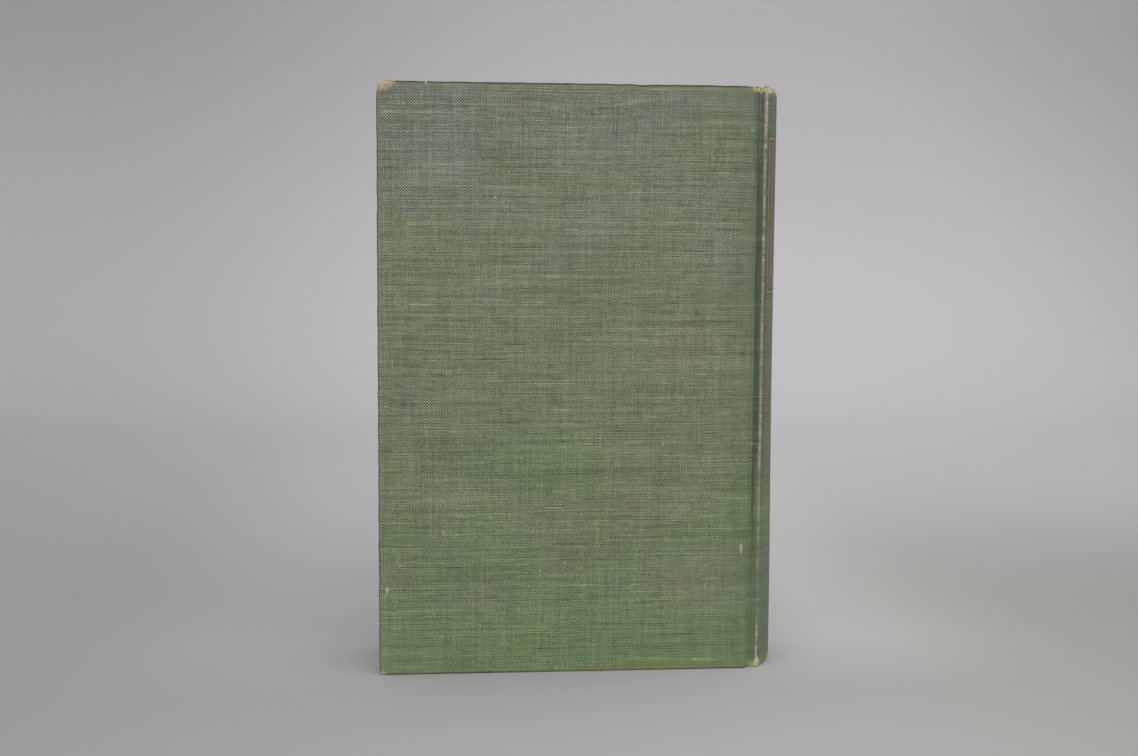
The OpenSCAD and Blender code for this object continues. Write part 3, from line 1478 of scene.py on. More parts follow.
def marks_in_mm(*rows: tuple[float, ...]) -> tuple[Mark, ...]:
    """Reads a table of marks.

    Args:
        rows: The place and the half sizes of each mark in millimetres, and its strength
            where that isn't 1.

    Returns:
        The marks, in metres.
    """
    return tuple(Mark(*(size * MM for size in row[:4]), *row[4:]) for row in rows)


@dataclass(frozen=True)
class ClothFace:
    """The places and the noises on the cloth's face that its wear follows.

    Args:
        graph: The material's nodes.
        u: Along the cloth, below zero on the rear side.
        v: Up the cloth.
        away: Along the cloth from the middle of the spine, on either side.
        beads: Where the crowns of the threads are.
        ragged: A fine noise that breaks outlines.
        threads: A noise drawn along the threads.
        broad: A broad noise that breaks outlines.
    """

    graph: Graph
    u: Link
    v: Link
    away: Link
    beads: Link
    ragged: Link
    threads: Link
    broad: Link


@dataclass(frozen=True)
class ClothFinish:
    """Plain-weave book cloth: its threads, its slubs, its wear, and light and shade painted on its
    weave, joint and tail.

    Args:
        case: The case's sizes.
        pitch: The distance between threads.
        soft: How soft the outlines of the broad marks are.
        gap: Colour at the dark end of the weave: the threads' own darker tone and painted shade
            between them.
        green: Colour of most threads.
        crown: Colour at the light end of the weave: the threads' own paler tone and a painted
            highlight on their crowns.
        dusty: Hue of the cover's upper half.
        leaf: Hue of its lower half.
        haze: Hue where it is hazy.
        fresh: Hue where it has stayed fresh.
        drab: Hue where it has gone drab.
        yellowed: Colour along the head edge.
        grime: Colour of the dirt on the boards' arris.
        bare: Colour of the ridge where the threads are rubbed bare.
        straw: Colour of the worn corners.
        tan: Colour of the board that shows through beside them.
        gilt: Colour of the spine's rule and diamonds.
        field: Colour of the panel inside the rule.
        slubs: Thick threads that catch the light.
        flecks: Small pale marks.
        rubs: Places that are rubbed pale.
        stains: Dark spots.
        hazes: Hazy places.
        drabs: Drab places.
        greens: Fresh places.
    """

    case: Case
    pitch: float = 0.47 * MM
    soft: float = 1.6
    # The weave's ramp runs from painted shade in the gaps to a painted highlight on the crowns,
    # over the threads' own tone.
    gap: Colour = srgb(48, 58, 38)
    green: Colour = srgb(114, 126, 98)
    crown: Colour = srgb(186, 196, 166)
    dusty: Colour = srgb(117, 123, 107)
    leaf: Colour = srgb(103, 117, 86)
    haze: Colour = srgb(113, 120, 109)
    fresh: Colour = srgb(104, 124, 84)
    drab: Colour = srgb(118, 117, 98)
    yellowed: Colour = srgb(134, 134, 98)
    grime: Colour = srgb(58, 60, 44)
    bare: Colour = srgb(206, 200, 180)
    straw: Colour = srgb(200, 182, 146)
    tan: Colour = srgb(136, 112, 82)
    gilt: Colour = srgb(160, 134, 76)
    field: Colour = srgb(110, 103, 102)

    slubs: tuple[Mark, ...] = marks_in_mm(
        (21.5, 164.9, 4.2, 0.22), (40, 157.9, 11, 0.2, 0.7), (42, 149.1, 9.5, 0.2, 0.6),
        (58, 137.4, 13, 0.2, 0.4), (60, 12.4, 7, 0.2, 0.4),
    )
    flecks: tuple[Mark, ...] = marks_in_mm(
        (41.7, 162.6, 0.35, 0.3, 0.9), (37.3, 154.7, 0.3, 0.5), (15.6, 190.3, 0.35, 0.5, 0.9),
        (59.1, 180.4, 0.3, 0.3, 0.6), (64.6, 174.5, 0.3, 0.3, 0.6), (2.7, 28.0, 0.7, 1.0, 0.9),
        (118.4, 40.6, 0.6, 1.6, 0.8), (119.9, 177.0, 1.3, 0.9, 0.4), (120.6, 162.4, 0.6, 2.6, 0.4),
        (57.5, 1.6, 0.35, 0.7, 0.6), (103.4, 3.4, 0.4, 0.8, 0.7), (99.4, 2.2, 0.4, 0.5, 0.6),
        (74.6, 31.0, 0.4, 0.4, 0.6), (20.8, 46.8, 0.35, 0.7, 0.7), (52.1, 34.0, 0.4, 0.35, 0.8),
        (48.5, 28.8, 0.4, 0.3, 0.7), (60.2, 36.4, 0.6, 0.45, 0.5), (10.1, 51.5, 0.35, 0.5, 0.5),
        (106.6, 28.1, 0.4, 0.35, 0.6), (8.6, 183.7, 0.35, 0.4, 0.5), (92.2, 75.3, 0.4, 0.5, 0.7),
        (4.6, 101.3, 0.35, 0.4, 0.6), (2.4, 87.7, 0.35, 0.5, 0.6),
    )
    rubs: tuple[Mark, ...] = marks_in_mm(
        (19, 169, 15, 11, 0.95), (40, 152, 16, 8, 0.4), (34, 27, 6, 1.6, 0.9),
        (32.6, 39.4, 2.6, 2.0, 0.7), (12.2, 94.8, 1.6, 1.6, 0.8), (30, 187.2, 27, 1.2, 0.5),
        (100, 33, 16, 8, 0.4),
    )
    stains: tuple[Mark, ...] = marks_in_mm(
        (102.5, 118, 0.9, 0.9), (117.7, 104.4, 1.4, 0.5, 0.6),
    )
    hazes: tuple[Mark, ...] = marks_in_mm(
        (18, 171, 15, 13, 0.6), (5.2, 187.0, 2.4, 1.6), (2.0, 173, 0.9, 12, 0.8),
        (9, 94, 8, 6, 0.9), (29, 98, 11, 9, 0.6), (34, 27, 12, 5, 0.5),
    )
    drabs: tuple[Mark, ...] = marks_in_mm(
        (98, 106, 16, 19, 0.6), (82, 53, 13, 9, 0.7), (98, 28, 12, 5, 0.8), (60, 118, 20, 9, 0.4),
    )
    greens: tuple[Mark, ...] = marks_in_mm(
        (119, 56, 5, 14, 0.9), (48, 71, 22, 11, 0.7), (110, 172, 13, 14, 0.7),
        (60, 9, 60, 11, 0.8),
    )

    def mask(self, face: ClothFace, marks: Iterable[Mark], broken: Link,
             blur: float = 1.0) -> Link:
        """Gathers marks into one mask.

        Args:
            face: The face of the cloth.
            marks: The marks.
            broken: A noise that breaks their outlines.
            blur: How soft their outlines are.

        Returns:
            The mask.
        """
        rough = (broken - 0.5) * 1.6

        def inside(mark: Mark) -> Link:
            """Masks one mark."""
            across = (face.u + self.case.from_fore(mark.across)) / mark.half_w
            up = (face.v - mark.up) / mark.half_h
            reach = across * across + up * up + rough
            return reach.ease(0.8 + blur / 2, 0.8 - blur / 2) * mark.strength

        return reduce(Link.most, map(inside, marks))

    def weave(self, graph: Graph, u: Link, v: Link) -> tuple[Link, Link]:
        """Weaves the cloth.

        Args:
            graph: The material's nodes.
            u: Along the cloth, below zero on the rear side.
            v: Up the cloth.

        Returns:
            The tone of the threads, with painted shade and painted highlight on the crossings, and
            the height of their crowns.
        """
        flat = graph.vector(u, v)
        warp = u / self.pitch + (graph.clouds(flat, 38 * MM) - 0.5) * 2.4
        weft = v / self.pitch + (graph.clouds(graph.vector(v, u), 46 * MM) - 0.5) * 3.0
        warp = warp + (graph.clouds(graph.vector(u, v, 3.3), 2.4 * MM) - 0.5) * 0.8
        weft = weft + (graph.clouds(graph.vector(u, v, 6.6), 2.4 * MM) - 0.5) * 0.7
        across, up = (warp * math.pi).sine(), (weft * math.pi).sine()
        lattice = across * up
        crown = abs(lattice)
        row, column = weft.floor(), warp.floor()
        crossing = {"Vector": graph.vector(column, row)}
        chance = graph.node("ShaderNodeTexWhiteNoise", {"noise_dimensions": "2D"}, crossing)
        patchy = graph.clouds(flat, 7 * MM, 2.0).ease(0.3, 0.7)
        uneven = graph.clouds(graph.vector(u, v, 8.3), 11 * MM, 2.0).ease(0.35, 0.65)

        def run(along: Link, thread: Link, seed: float, size: float) -> Link:
            """Varies a tone along each thread by itself, about 0."""
            where = graph.vector(along, thread * (3.7 * size), seed)
            return graph.clouds(where, size, 2.0, 0.6) - 0.5

        # The lattice term darkens one kind of crossing and lightens the other: painted shade and
        # painted highlight on the weave.
        tone = 0.445 - lattice * (0.27 + 0.18 * patchy) + crown * (chance - 0.5) * 0.3
        tone = tone + up * (0.02 + 0.06 * uneven) + across * (0.05 - 0.04 * uneven)
        tone = tone + run(u, row, 0.7, 42 * MM) * 0.50 + run(u, row, 2.9, 5 * MM) * 0.34
        tone = tone + run(v, column, 5.3, 30 * MM) * 0.24 + run(v, column, 7.7, 6 * MM) * 0.20
        slubs = run(u, row, 9.1, 24 * MM)
        tone = tone - slubs.ease(-0.14, -0.22) * 0.16 + slubs.ease(0.15, 0.25) * 0.20
        tone = tone + (graph.clouds(graph.vector(u * 0.6, v, 1.9), 14 * MM, 2.0) - 0.5) * 0.10
        return tone, crown

    def material(self) -> bpy.types.Material:
        """Makes the cloth's material.

        Returns:
            The material.
        """
        graph = Graph("worn_green_cloth")
        u, v = graph.lay()
        flat = graph.vector(u, v)
        tone, crown = self.weave(graph, u, v)
        face = ClothFace(
            graph, u, v, away=abs(u), beads=tone.ease(0.38, 0.72),
            ragged=graph.clouds(flat, 1.1 * MM, 3.0, 0.65),
            threads=graph.clouds(graph.vector(u * 0.45, v * 1.4, 3.3), 0.7 * MM, 2.0, 0.6),
            broad=graph.clouds(graph.vector(u * 0.7, v), 5 * MM, 4.0, 0.7),
        )
        # Ramp from painted shade (gap) through the threads' green to a painted highlight (crown).
        colour = graph.ramp(tone, [(0.0, self.gap), (0.5, self.green), (1.0, self.crown)])
        colour = self.shades(face, colour)
        rubbed = self.mask(face, self.rubs, face.broad, self.soft)
        colour = graph.layers(
            colour,
            (rubbed * (0.03 + 0.36 * face.beads), srgb(156, 160, 150)),
            (self.mask(face, self.stains, face.ragged) * 0.7, srgb(72, 80, 70)),
        )
        for wear in (self.edge_wear, self.spine_tones, self.joint_wear, self.cap_wear,
                     self.stamping):
            colour = wear(face, colour)
        lines = self.mask(face, self.slubs, graph.clouds(flat, 2.2 * MM, 2.0, 0.6))
        specks = self.mask(face, self.flecks, face.ragged) * u.ease(0.3 * MM, -0.3 * MM)
        colour = graph.layers(
            colour,
            (lines * (0.2 + 0.6 * face.threads), srgb(164, 170, 152)),
            (specks * (0.4 + 0.6 * face.beads), srgb(200, 202, 184)),
        )
        return graph.surface({
            "Base Color": colour, "Roughness": 0.86 - 0.10 * rubbed,
            "Normal": graph.bump(crown, 0.07 * MM, 0.6),
            "Specular IOR Level": 0.28, "Sheen Weight": 0.05, "Sheen Roughness": 0.5,
        })

    def shades(self, face: ClothFace, colour: Link) -> Link:
        """Lays the slow changes of hue over the weave, and leaves its light and dark alone.

        Args:
            face: The face of the cloth.
            colour: The colour of the threads.

        Returns:
            The shaded colour.
        """
        height = face.v / self.case.height
        hue = face.graph.clouds(face.graph.vector(face.u * 0.6, face.v, 4.4), 14 * MM, 3.0)
        return face.graph.layers(
            colour,
            (height.ease(0.5, 1.0) * 0.9, self.dusty),
            (height.ease(0.55, 0.0) * 0.9, self.leaf),
            (hue.ease(0.50, 0.70) * 0.20, self.haze),
            (hue.ease(0.50, 0.30) * 0.28, self.fresh),
            (self.mask(face, self.greens, face.broad, self.soft) * 0.5, self.fresh),
            (self.mask(face, self.hazes, face.broad, self.soft) * 0.28, self.haze),
            (self.mask(face, self.drabs, face.broad, self.soft) * 0.45, self.drab),
            blend="COLOR",
        )

    def edge_wear(self, face: ClothFace, colour: Link) -> Link:
        """Wears the edges of the boards: a dark arris, yellowed bands and straw corners.

        Args:
            face: The face of the cloth.
            colour: The colour so far.

        Returns:
            The colour with the edges' wear.
        """
        v, away, beads, ragged = face.v, face.away, face.beads, face.ragged
        head, fore = v - self.case.height, away - self.case.fore_u
        edge = head.most(0.0 - v).most(fore)
        spotty = face.threads.ease(0.38, 0.62)
        bands = head.near(-1.1 * MM, 0.5 * MM, 1.2 * MM) * (0.1 + 0.4 * ragged)
        green = away.near(50 * MM, 14 * MM, 20 * MM) * v.near(2.6 * MM, 1.2 * MM, 2.4 * MM)
        rubbed = away.near(66 * MM, 20 * MM, 22 * MM) * v.ease(1.5 * MM, 0.3 * MM)
        pale = fore.near(-0.7 * MM, 0.35 * MM, 0.5 * MM) * ragged.ease(0.45, 0.6)
        dull = fore.near(-0.3 * MM, 0.2 * MM, 0.4 * MM) * (0.2 + 0.6 * spotty)
        line = edge.ease(-0.32 * MM, -0.02 * MM) * (0.7 + 0.3 * spotty)
        upper = head.ease(-0.74 * MM, -0.46 * MM) * fore.ease(-3 * MM, -5 * MM)

        across, up = 0.0 - fore, 0.0 - head
        rough = (ragged - 0.5) * 1.2 + (beads - 0.5) * 0.7
        streak = fore.ease(-1.6 * MM, -0.4 * MM) * up.ease(9 * MM, 2.5 * MM)
        tip = (across * across / (5.0 * MM) ** 2 + up * up / (2.6 * MM) ** 2 + rough).ease(1.6, 0.3)
        foot = (across * across / (2.6 * MM) ** 2 + v * v / (1.7 * MM) ** 2 + rough).ease(1.3, 0.4)
        grimy = (face.threads.ease(0.54, 0.66) * 0.65).most(fore.ease(-0.9 * MM, 0.0) * 0.6)
        low = fore.ease(-0.8 * MM, -0.2 * MM) * v.ease(16 * MM, 3 * MM)
        return face.graph.layers(
            colour,
            (bands, self.yellowed),
            (green * 0.5, srgb(116, 130, 66)),
            (rubbed * (0.2 + 0.6 * spotty), srgb(152, 142, 106)),
            (pale * 0.5, srgb(146, 146, 126)),
            (dull, srgb(112, 96, 72)),
            (line.most(upper * (0.8 + 0.3 * ragged)), self.grime),
            (edge.ease(2.2 * MM, 3.4 * MM) * 0.8, self.green),
            (streak * (0.45 + 0.5 * spotty), self.tan),
            ((tip * 0.76).most(foot * 0.8), self.straw),
            (tip * grimy, self.tan),
            (low * (0.2 + 0.6 * spotty), self.tan),
        )

    def spine_tones(self, face: ClothFace, colour: Link) -> Link:
        """Tones the spine, browner about its middle and greener towards its ends.

        Args:
            face: The face of the cloth.
            colour: The colour so far.

        Returns:
            The colour with the spine's tones.
        """
        ridge = self.case.bends()[1]
        spine = face.away.ease(ridge + 0.2 * MM, ridge - 1.2 * MM)
        return face.graph.layers(
            colour,
            (face.v.near(95 * MM, 24 * MM, 46 * MM) * spine * 0.5, srgb(112, 107, 94)),
            (face.v.ease(62 * MM, 28 * MM) * spine * 0.5, srgb(94, 115, 98)),
            (face.v.ease(130 * MM, 160 * MM) * spine * 0.45, srgb(92, 106, 78)),
        )

    def joint_wear(self, face: ClothFace, colour: Link) -> Link:
        """Wears and shades the joint: a groove dark with dirt and painted shade, painted highlights
        on the board's edge and roll beside it, and a ridge rubbed bare.

        Args:
            face: The face of the cloth.
            colour: The colour so far.

        Returns:
            The colour with the joint's wear and its painted light and shade.
        """
        graph, u, v, away = face.graph, face.u, face.v, face.away
        beads, ragged = face.beads, face.ragged
        crest, floor = self.case.ridge_u, self.case.groove_u
        top, low = v.ease(163 * MM, 173 * MM), v.ease(64 * MM, 28 * MM)
        foot = v.ease(78 * MM, 62 * MM)

        # Painted shade on the board as it falls towards the groove.
        shaded = away.ease(floor + 15 * MM, floor + 3 * MM) * 0.14
        beyond = away.near(crest - 1.7 * MM, 0.9 * MM, 0.9 * MM) * v.ease(20 * MM, 80 * MM)
        # The dark groove: dirt, and painted shade at the bottom of the groove.
        depth = 0.06 + v.ease(22 * MM, 66 * MM) * 0.5 + v.ease(150 * MM, 100 * MM) * 0.06
        dark = abs(away - (floor - 0.4 * MM + (foot + top) * (0.35 * MM)))
        dark = dark.ease(1.5 * MM - foot * (0.7 * MM), 0.6 * MM - foot * (0.3 * MM))
        dark = dark * away.ease(floor + 0.8 * MM, floor + 0.35 * MM)
        dark = dark * depth * (0.75 + 0.5 * ragged - 0.35 * beads)
        # Painted highlight along the board's spine edge, lightening the shading of the groove's
        # slope.
        board_edge_highlight = away.near(floor + 0.85 * MM, 0.2 * MM, 0.35 * MM)
        board_edge_highlight = board_edge_highlight * v.near(110 * MM, 50 * MM, 20 * MM)
        # Painted highlight on the board's roll beside the groove; pale sets its strength up the
        # height.
        roll = away.near(floor + 2.6 * MM, 0.5 * MM, 1.2 * MM) * (0.2 + 0.8 * beads)
        pale = v.near(128 * MM, 30 * MM, 30 * MM) * 0.3 + v.ease(46 * MM, 30 * MM) * 0.45

        patches = graph.clouds(graph.vector(u * 0.3, v, 6.2), 2.6 * MM, 3.0, 0.7)
        wide = 0.60 * MM + 0.36 * MM * top - 0.12 * MM * low
        centre = crest - 0.24 * MM - v.ease(164 * MM, 182 * MM) * (0.42 * MM) + foot * (0.2 * MM)
        ridge = abs(away - centre) / wide + (ragged - 0.5) * 1.3
        strong = 0.52 + v.ease(172 * MM, 180 * MM) * 0.4 - top * 0.1 - foot * 0.14 - low * 0.16
        strong = strong + v.ease(20 * MM, 8 * MM) * 0.4
        rungs = graph.clouds(graph.vector(u * 0.5, v, 8.8), 0.6 * MM, 1.0).ease(0.38, 0.60)
        halo = ridge.ease(2.5, 0.6) * strong * (0.18 + 0.34 * beads)
        gaps = (patches + strong * 0.42).ease(0.58, 0.80)
        bare = ridge.ease(1.05, 0.35) * gaps * (0.3 + 0.7 * rungs) * (0.6 + 0.4 * beads)
        crease = away.near(crest + 0.9 * MM, 0.25 * MM, 0.35 * MM) * top
        speckle = away.near(crest + 1.6 * MM, 0.4 * MM, 0.4 * MM) * top * ragged.ease(0.45, 0.6)
        return graph.layers(
            colour,
            # Painted shade on the board, then dirt and painted shade in the groove, then painted
            # highlights on the edge and roll.
            (shaded, srgb(50, 60, 42)),
            (beyond * 0.26, srgb(48, 54, 36)),
            (dark, srgb(46, 54, 38)),
            (board_edge_highlight * (0.25 + 0.35 * beads), srgb(142, 164, 130)),
            (roll * pale, srgb(134, 158, 134)),
            (halo, srgb(150, 144, 128)),
            (bare * (0.5 + strong * 0.6), self.bare),
            (crease * 0.4, srgb(52, 54, 40)),
            (speckle * 0.3, srgb(172, 160, 146)),
        )

    def cap_wear(self, face: ClothFace, colour: Link) -> Link:
        """Frays the cloth at the head and the tail of the spine, with a painted shadow under the
        chipped tail.

        Args:
            face: The face of the cloth.
            colour: The colour so far.

        Returns:
            The colour with the caps' wear and the painted shadow.
        """
        v, away, ragged = face.v, face.away, face.ragged
        crest, floor = self.case.ridge_u, self.case.groove_u
        rough = (ragged - 0.5) * (2.0 * MM) + (face.threads - 0.5) * (1.4 * MM)
        head = (v - self.case.height + rough).ease(-2.6 * MM, -1.2 * MM)
        olive = head * away.ease(floor + 6.2 * MM, floor + 3.6 * MM)
        frayed = head * away.ease(floor + 4.4 * MM, floor + 2.6 * MM) * ragged.ease(0.40, 0.56)
        patch = away.near(crest - 2.4 * MM, 1.6 * MM, 1.0 * MM) * head
        chip = abs(away - (crest - 0.5 * MM)) * 1.5 + v + rough
        # Painted shadow under the chipped tail of the spine, which stands a little off the floor.
        gap = away.near(crest + 0.2 * MM, 1.4 * MM, 0.8 * MM) * v.ease(0.9 * MM, 0.2 * MM)
        tail = (v + rough).ease(3.0 * MM, 1.4 * MM) * away.ease(floor + 2.0 * MM, floor)
        return face.graph.layers(
            colour,
            (olive * 0.6, srgb(128, 124, 86)),
            (frayed * 0.8, srgb(200, 192, 154)),
            (patch * (0.3 + 0.6 * ragged), srgb(206, 200, 166)),
            (chip.ease(4.4 * MM, 3.2 * MM) * 0.85, srgb(200, 190, 156)),
            # The painted shadow under the tail.
            (gap * 0.7, srgb(70, 58, 46)),
            (tail * ragged.ease(0.36, 0.56) * 0.6, srgb(176, 166, 134)),
        )

    def stamping(self, face: ClothFace, colour: Link) -> Link:
        """Stamps the spine with a plain rule frame round a bare panel, and three diamonds.

        Args:
            face: The face of the cloth.
            colour: The colour so far.

        Returns:
            The colour with the stamping.
        """
        half_w, low, high, stone = 15.7 * MM, 124.3 * MM, 174.8 * MM, 131.5 * MM
        away, up = face.away - half_w, abs(face.v - (low + high) / 2) - (high - low) / 2
        outside = away.most(up)
        shade = outside.near(-1.1 * MM, 0.25 * MM, 0.3 * MM)
        shade = shade.most(outside.near(0.25 * MM, 0.2 * MM, 0.3 * MM))
        rule = outside.near(-0.4 * MM, 0.4 * MM, 0.45 * MM)
        level = abs(face.v - stone)
        stones = (abs(face.away - 12.0 * MM) + level).least(face.away + level)
        gilded = rule.most(stones.ease(1.35 * MM, 1.2 * MM))
        return face.graph.layers(
            colour,
            (outside.ease(0.0, -0.4 * MM) * 0.7, self.field),
            (shade * 0.6, srgb(66, 48, 28)),
            (gilded * (0.36 + 0.5 * face.ragged.ease(0.35, 0.6)), self.gilt),
        )


@dataclass(frozen=True)
class ThreadFinish:
    """Frayed ends of thread, faded to straw.

    Args:
        colour: Their main colour.
    """

    colour: Colour = srgb(170, 162, 128)

    def material(self) -> bpy.types.Material:
        """Makes the material of the thread ends."""
        graph = Graph("faded_thread_ends")
        spots = graph.clouds(graph.place(), 0.6 * MM)
        colour = graph.mix(spots.ease(0.4, 0.6) * 0.6, self.colour, srgb(122, 124, 92))
        return graph.surface({"Base Color": colour, "Roughness": 0.9})


@dataclass(frozen=True)
class PaperFinish:
    """Aged paper with fibres and a little foxing.

    Args:
        name: The material's name.
        paper: Its main colour.
        aged: Its colour where it has browned.
        fox: The colour of its spots.
    """

    name: str = "aged_endpaper"
    paper: Colour = srgb(228, 218, 192)
    aged: Colour = srgb(206, 190, 154)
    fox: Colour = srgb(170, 134, 88)

    def material(self) -> bpy.types.Material:
        """Makes the paper's material.

        Returns:
            The material.
        """
        graph = Graph(self.name)
        u, v = graph.lay()
        flat = graph.vector(u, v)
        clouds = graph.clouds(flat, 45 * MM, 3.0)
        fibres = graph.clouds(flat, 0.6 * MM, 3.0, 0.7)
        spots = graph.clouds(flat, 7 * MM, 4.0, 0.7).ease(0.66, 0.74)
        colour = graph.layers(
            self.paper,
            (clouds.ease(0.3, 0.75) * 0.7, self.aged),
            (fibres.ease(0.4, 0.7) * 0.18, self.aged),
            (spots * 0.45, self.fox),
        )
        normal = graph.bump(fibres, 0.03 * MM, 0.5)
        return graph.surface({
            "Base Color": colour, "Roughness": 0.82, "Normal": normal, "Specular IOR Level": 0.3,
        })


@dataclass(frozen=True)
class LeafEdgeFinish:
    """The cut edges of aged leaves, with a fine line for each.

    Args:
        leaf: Thickness of a leaf.
        gathering: Thickness of one folded gathering.
        paper: Its main colour.
        toned: Its colour where dust and air have toned it.
    """

    leaf: float = 0.11 * MM
    gathering: float = 1.55 * MM
    paper: Colour = srgb(214, 200, 166)
    toned: Colour = srgb(168, 144, 104)

    def material(self) -> bpy.types.Material:
        """Makes the material of the leaves' edges.

        Returns:
            The material.
        """
        graph = Graph("cut_leaf_edges")
        u, v = graph.lay()
        lines = graph.clouds(graph.vector(u, v * 0.003), self.leaf, 2.0, 0.6)
        broad = graph.clouds(graph.vector(u, v * 0.008, 4.1), self.gathering, 2.0, 0.6)
        dust = graph.clouds(graph.vector(u, v), 16 * MM, 4.0, 0.6)
        colour = graph.layers(
            self.paper,
            (lines.ease(0.3, 0.7) * 0.55, self.toned),
            (broad.ease(0.45, 0.7) * 0.26, srgb(158, 136, 98)),
            (dust.ease(0.4, 0.8) * 0.34, srgb(162, 144, 112)),
        )
        normal = graph.bump(lines, 0.08 * MM, 0.7)
        return graph.surface({
            "Base Color": colour, "Roughness": 0.85, "Normal": normal, "Specular IOR Level": 0.25,
        })


@dataclass(frozen=True)
class FibreFinish:
    """Strawboard, card, lining paper or muslin on a piece of the frame.

    Args:
        name: The material's name.
        light: Its lighter colour.
        dark: Its darker colour.
        fibre: The size of its fibres.
        mesh: The pitch of an open weave, or 0 for none.
    """

    name: str
    light: Colour
    dark: Colour
    fibre: float = 0.5 * MM
    mesh: float = 0.0

    def material(self) -> bpy.types.Material:
        """Makes the material.

        Returns:
            The material.
        """
        graph = Graph(self.name)
        place = graph.place()
        fibres = graph.clouds(place, self.fibre, 4.0, 0.7)
        patches = graph.clouds(place, 12 * MM, 3.0)
        mask = fibres.ease(0.35, 0.65) * 0.6 + patches.ease(0.3, 0.7) * 0.3
        height = fibres
        if self.mesh:
            _, beside, up = graph.split(place)
            threads = abs((up * (math.pi / self.mesh)).sine())
            threads = threads.most(abs((beside * (math.pi / self.mesh)).sine()))
            mask = mask * 0.4 + threads.ease(0.9, 0.4) * 0.6
            height = threads
        colour = graph.mix(mask, self.light, self.dark)
        normal = graph.bump(height, 0.08 * MM, 0.8)
        return graph.surface({
            "Base Color": colour, "Roughness": 0.88, "Normal": normal, "Specular IOR Level": 0.25,
        })


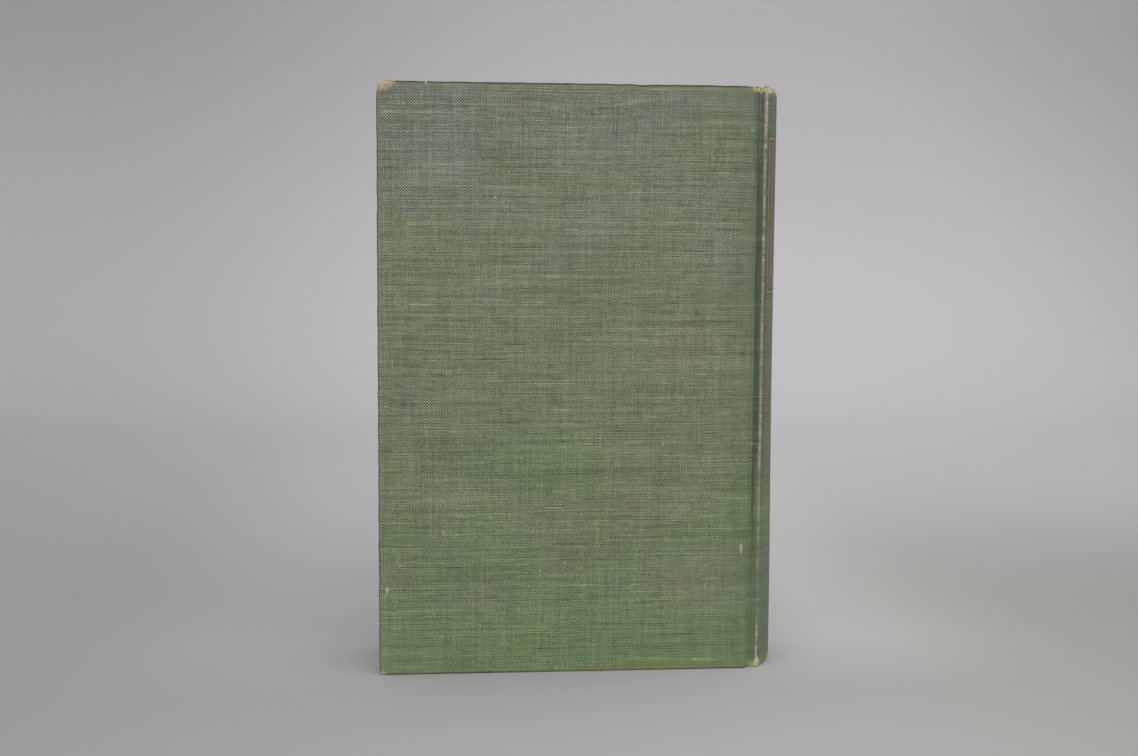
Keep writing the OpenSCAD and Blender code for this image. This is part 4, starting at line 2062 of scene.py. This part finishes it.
@dataclass(frozen=True)
class Studio:
    """A pale floor with painted light that sweeps up into a backdrop, soft lamps and the camera.

    Args:
        pale: The lightest colour of the sweep, where the most light is painted on.
        dull: Its dullest colour, under the painted light.
        camera_at: The camera's place.
        pan: The camera's turn about the upright, in degrees.
        tilt: How far it looks down, in degrees.
        roll: Its roll, in degrees.
        focal: Its focal length in pixels of the picture.
        picture_w: The picture's width in pixels.
        sensor: The width of its sensor.
        world: The strength of the even light from all round.
    """

    pale: Colour = srgb(186, 184, 187)
    dull: Colour = srgb(148, 146, 149)
    camera_at: tuple[float, float, float] = (-46.35 * MM, -496.98 * MM, 142.77 * MM)
    pan: float = 5.02
    tilt: float = 5.44
    roll: float = 0.35
    focal: float = 1500.0
    picture_w: int = 1138
    sensor: float = 36.0
    world: float = 0.86

    def paper(self) -> bpy.types.Material:
        """Makes the sweep's paper, with light painted on palest in the middle, behind and beside
        the book, and painted shade up the backdrop.

        Returns:
            The material.
        """
        graph = Graph("pale_sweep_painted_light")
        x, y, z = graph.split(graph.place())
        behind = y.ease(0.0, 0.8)
        # Pools of painted light on the floor near the book and on the backdrop behind it.
        near_painted_light = abs(x - 0.04).ease(0.24, 0.0) * (1.0 - behind)
        far_painted_light = abs(x - 0.22).ease(0.60, 0.06) * behind
        # Painted light beside the book, which lightens its shadow on the floor.
        beside = abs(x - 0.08).ease(0.10, 0.0) * 0.5 + abs(x + 0.10).ease(0.09, 0.0) * 0.16
        beside = beside * y.ease(-0.05, 0.03) * (1.0 - behind)
        mask = 0.08 + near_painted_light * 0.53 + beside + behind * 0.48 + far_painted_light * 0.66
        # Painted shade: the backdrop darkens towards the top.
        mask = mask - z.ease(0.05, 0.4) * 0.23
        colour = graph.mix(mask, self.dull, self.pale)
        # A painted pool of light low on the backdrop.
        low_painted_light = abs(x - 0.20).ease(0.5, 0.03) * y.ease(0.05, 0.35) * z.ease(0.24, 0.04)
        colour = graph.mix(low_painted_light * 0.36, colour, srgb(206, 204, 206))
        warm = x.ease(-0.04, 0.16) * (1.0 - behind)
        colour = graph.mix(warm, colour, srgb(168, 167, 164), "COLOR")
        return graph.surface({"Base Color": colour, "Roughness": 0.9, "Specular IOR Level": 0.2})

    def sweep(self) -> bpy.types.Object:
        """Builds the floor and the backdrop as one curved sheet.

        Returns:
            The sheet.
        """
        back, bend, rise, half = 0.95, 0.35, 1.6, 3.2
        section = [(-4.0, 0.0), (back - bend, 0.0)]
        for step in range(1, 13):
            angle = math.radians(7.5 * step)
            section.append((back - bend + bend * math.sin(angle), bend * (1 - math.cos(angle))))
        section.append((back, rise))
        sheet = Sheet("studio_sweep")
        points = [[Vector((x, y, z)) for x in steps(-half, half, 0.4)] for y, z in section]
        sheet.patch(points, [[(p.x, p.z) for p in row] for row in points])
        piece = sheet.finish(Vector((0.0, 0.0, 1.0)), Vector((0.0, -1.0, 0.0)), self.paper())
        return piece

    def lamp(self, name: str, at: Sequence[float], aim: Sequence[float], width: float,
             power: float) -> None:
        """Hangs a square soft lamp.

        Args:
            name: Its name.
            at: Its place.
            aim: What it points at.
            width: The width of its face.
            power: Its power in watts.
        """
        data = bpy.data.lights.new(name, "AREA")
        data.shape = "SQUARE"
        data.size = width
        data.energy = power
        lamp = bpy.data.objects.new(name, data)
        lamp.location = at
        lamp.rotation_euler = (Vector(aim) - Vector(at)).to_track_quat("-Z", "Y").to_euler()
        bpy.context.scene.collection.objects.link(lamp)

    def light(self) -> None:
        """Lights the book evenly, a little more from the upper right."""
        middle = (0.0, 0.0, 0.1)
        self.lamp("key_lamp", (0.6, -1.6, 1.4), middle, 1.8, 9)
        self.lamp("fill_lamp", (-0.7, -1.6, 0.9), middle, 1.6, 6)
        self.lamp("top_lamp", (0.0, 0.2, 1.9), middle, 1.6, 6)
        world = bpy.data.worlds.new("studio_air")
        world.use_nodes = True
        background = world.node_tree.nodes["Background"]
        background.inputs["Color"].default_value = (1.0, 1.0, 1.0, 1.0)
        background.inputs["Strength"].default_value = self.world
        bpy.context.scene.world = world

    def camera(self) -> None:
        """Sets up the camera at the photo's angle."""
        data = bpy.data.cameras.new("studio_camera")
        data.sensor_width = self.sensor
        data.lens = self.focal / self.picture_w * self.sensor
        camera = bpy.data.objects.new("studio_camera", data)
        camera.location = self.camera_at
        turn = Euler((math.radians(90 - self.tilt), 0.0, math.radians(-self.pan)))
        spin = Euler((0.0, 0.0, math.radians(self.roll)))
        camera.rotation_euler = (turn.to_matrix() @ spin.to_matrix()).to_euler()
        bpy.context.scene.collection.objects.link(camera)
        bpy.context.scene.camera = camera
        bpy.context.scene.view_settings.view_transform = "Standard"


def dress(node: str, finish: FibreFinish) -> None:
    """Gives a piece of the frame its material.

    Args:
        node: The piece's name.
        finish: Its finish.
    """
    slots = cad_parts[node].data.materials
    slots.clear()
    slots.append(finish.material())
    log.info("%s: dressed as %s", node, finish.name)


def build_book() -> None:
    """Builds the book's pieces in order, from the leaves out to the cloth."""
    case = Case.measured()
    Leaves(case).build(LeafEdgeFinish().material())
    paper = PaperFinish().material()
    for side in Side:
        Endpaper(case, side).flyleaf(paper)
        Endpaper(case, side).pastedown(paper)
    straw = FibreFinish("tan_strawboard", srgb(186, 160, 118), srgb(140, 112, 76))
    for side in Side:
        dress(f"{side.word}_board", straw)
    card = FibreFinish("buff_card", srgb(188, 168, 132), srgb(150, 130, 96))
    SpineInlay(case).build(card.material())
    dress("spine_lining", FibreFinish("brown_lining", srgb(168, 142, 104), srgb(128, 104, 72)))
    muslin = FibreFinish("starched_muslin", srgb(224, 218, 200), srgb(150, 138, 112), mesh=1.1 * MM)
    dress("mull", muslin)
    cloth = ClothFinish(case).material()
    thread = ThreadFinish().material()
    for side in Side:
        half = CaseCloth(case, side)
        half.build(cloth)
        LooseThreads(half).build(thread)


def main() -> None:
    """Sets up the studio and builds the book in it."""
    logging.basicConfig(level=logging.INFO, format="%(name)s %(message)s")
    studio = Studio()
    studio.camera()
    studio.light()
    studio.sweep()
    build_book()


if __name__ == "__main__":
    main()
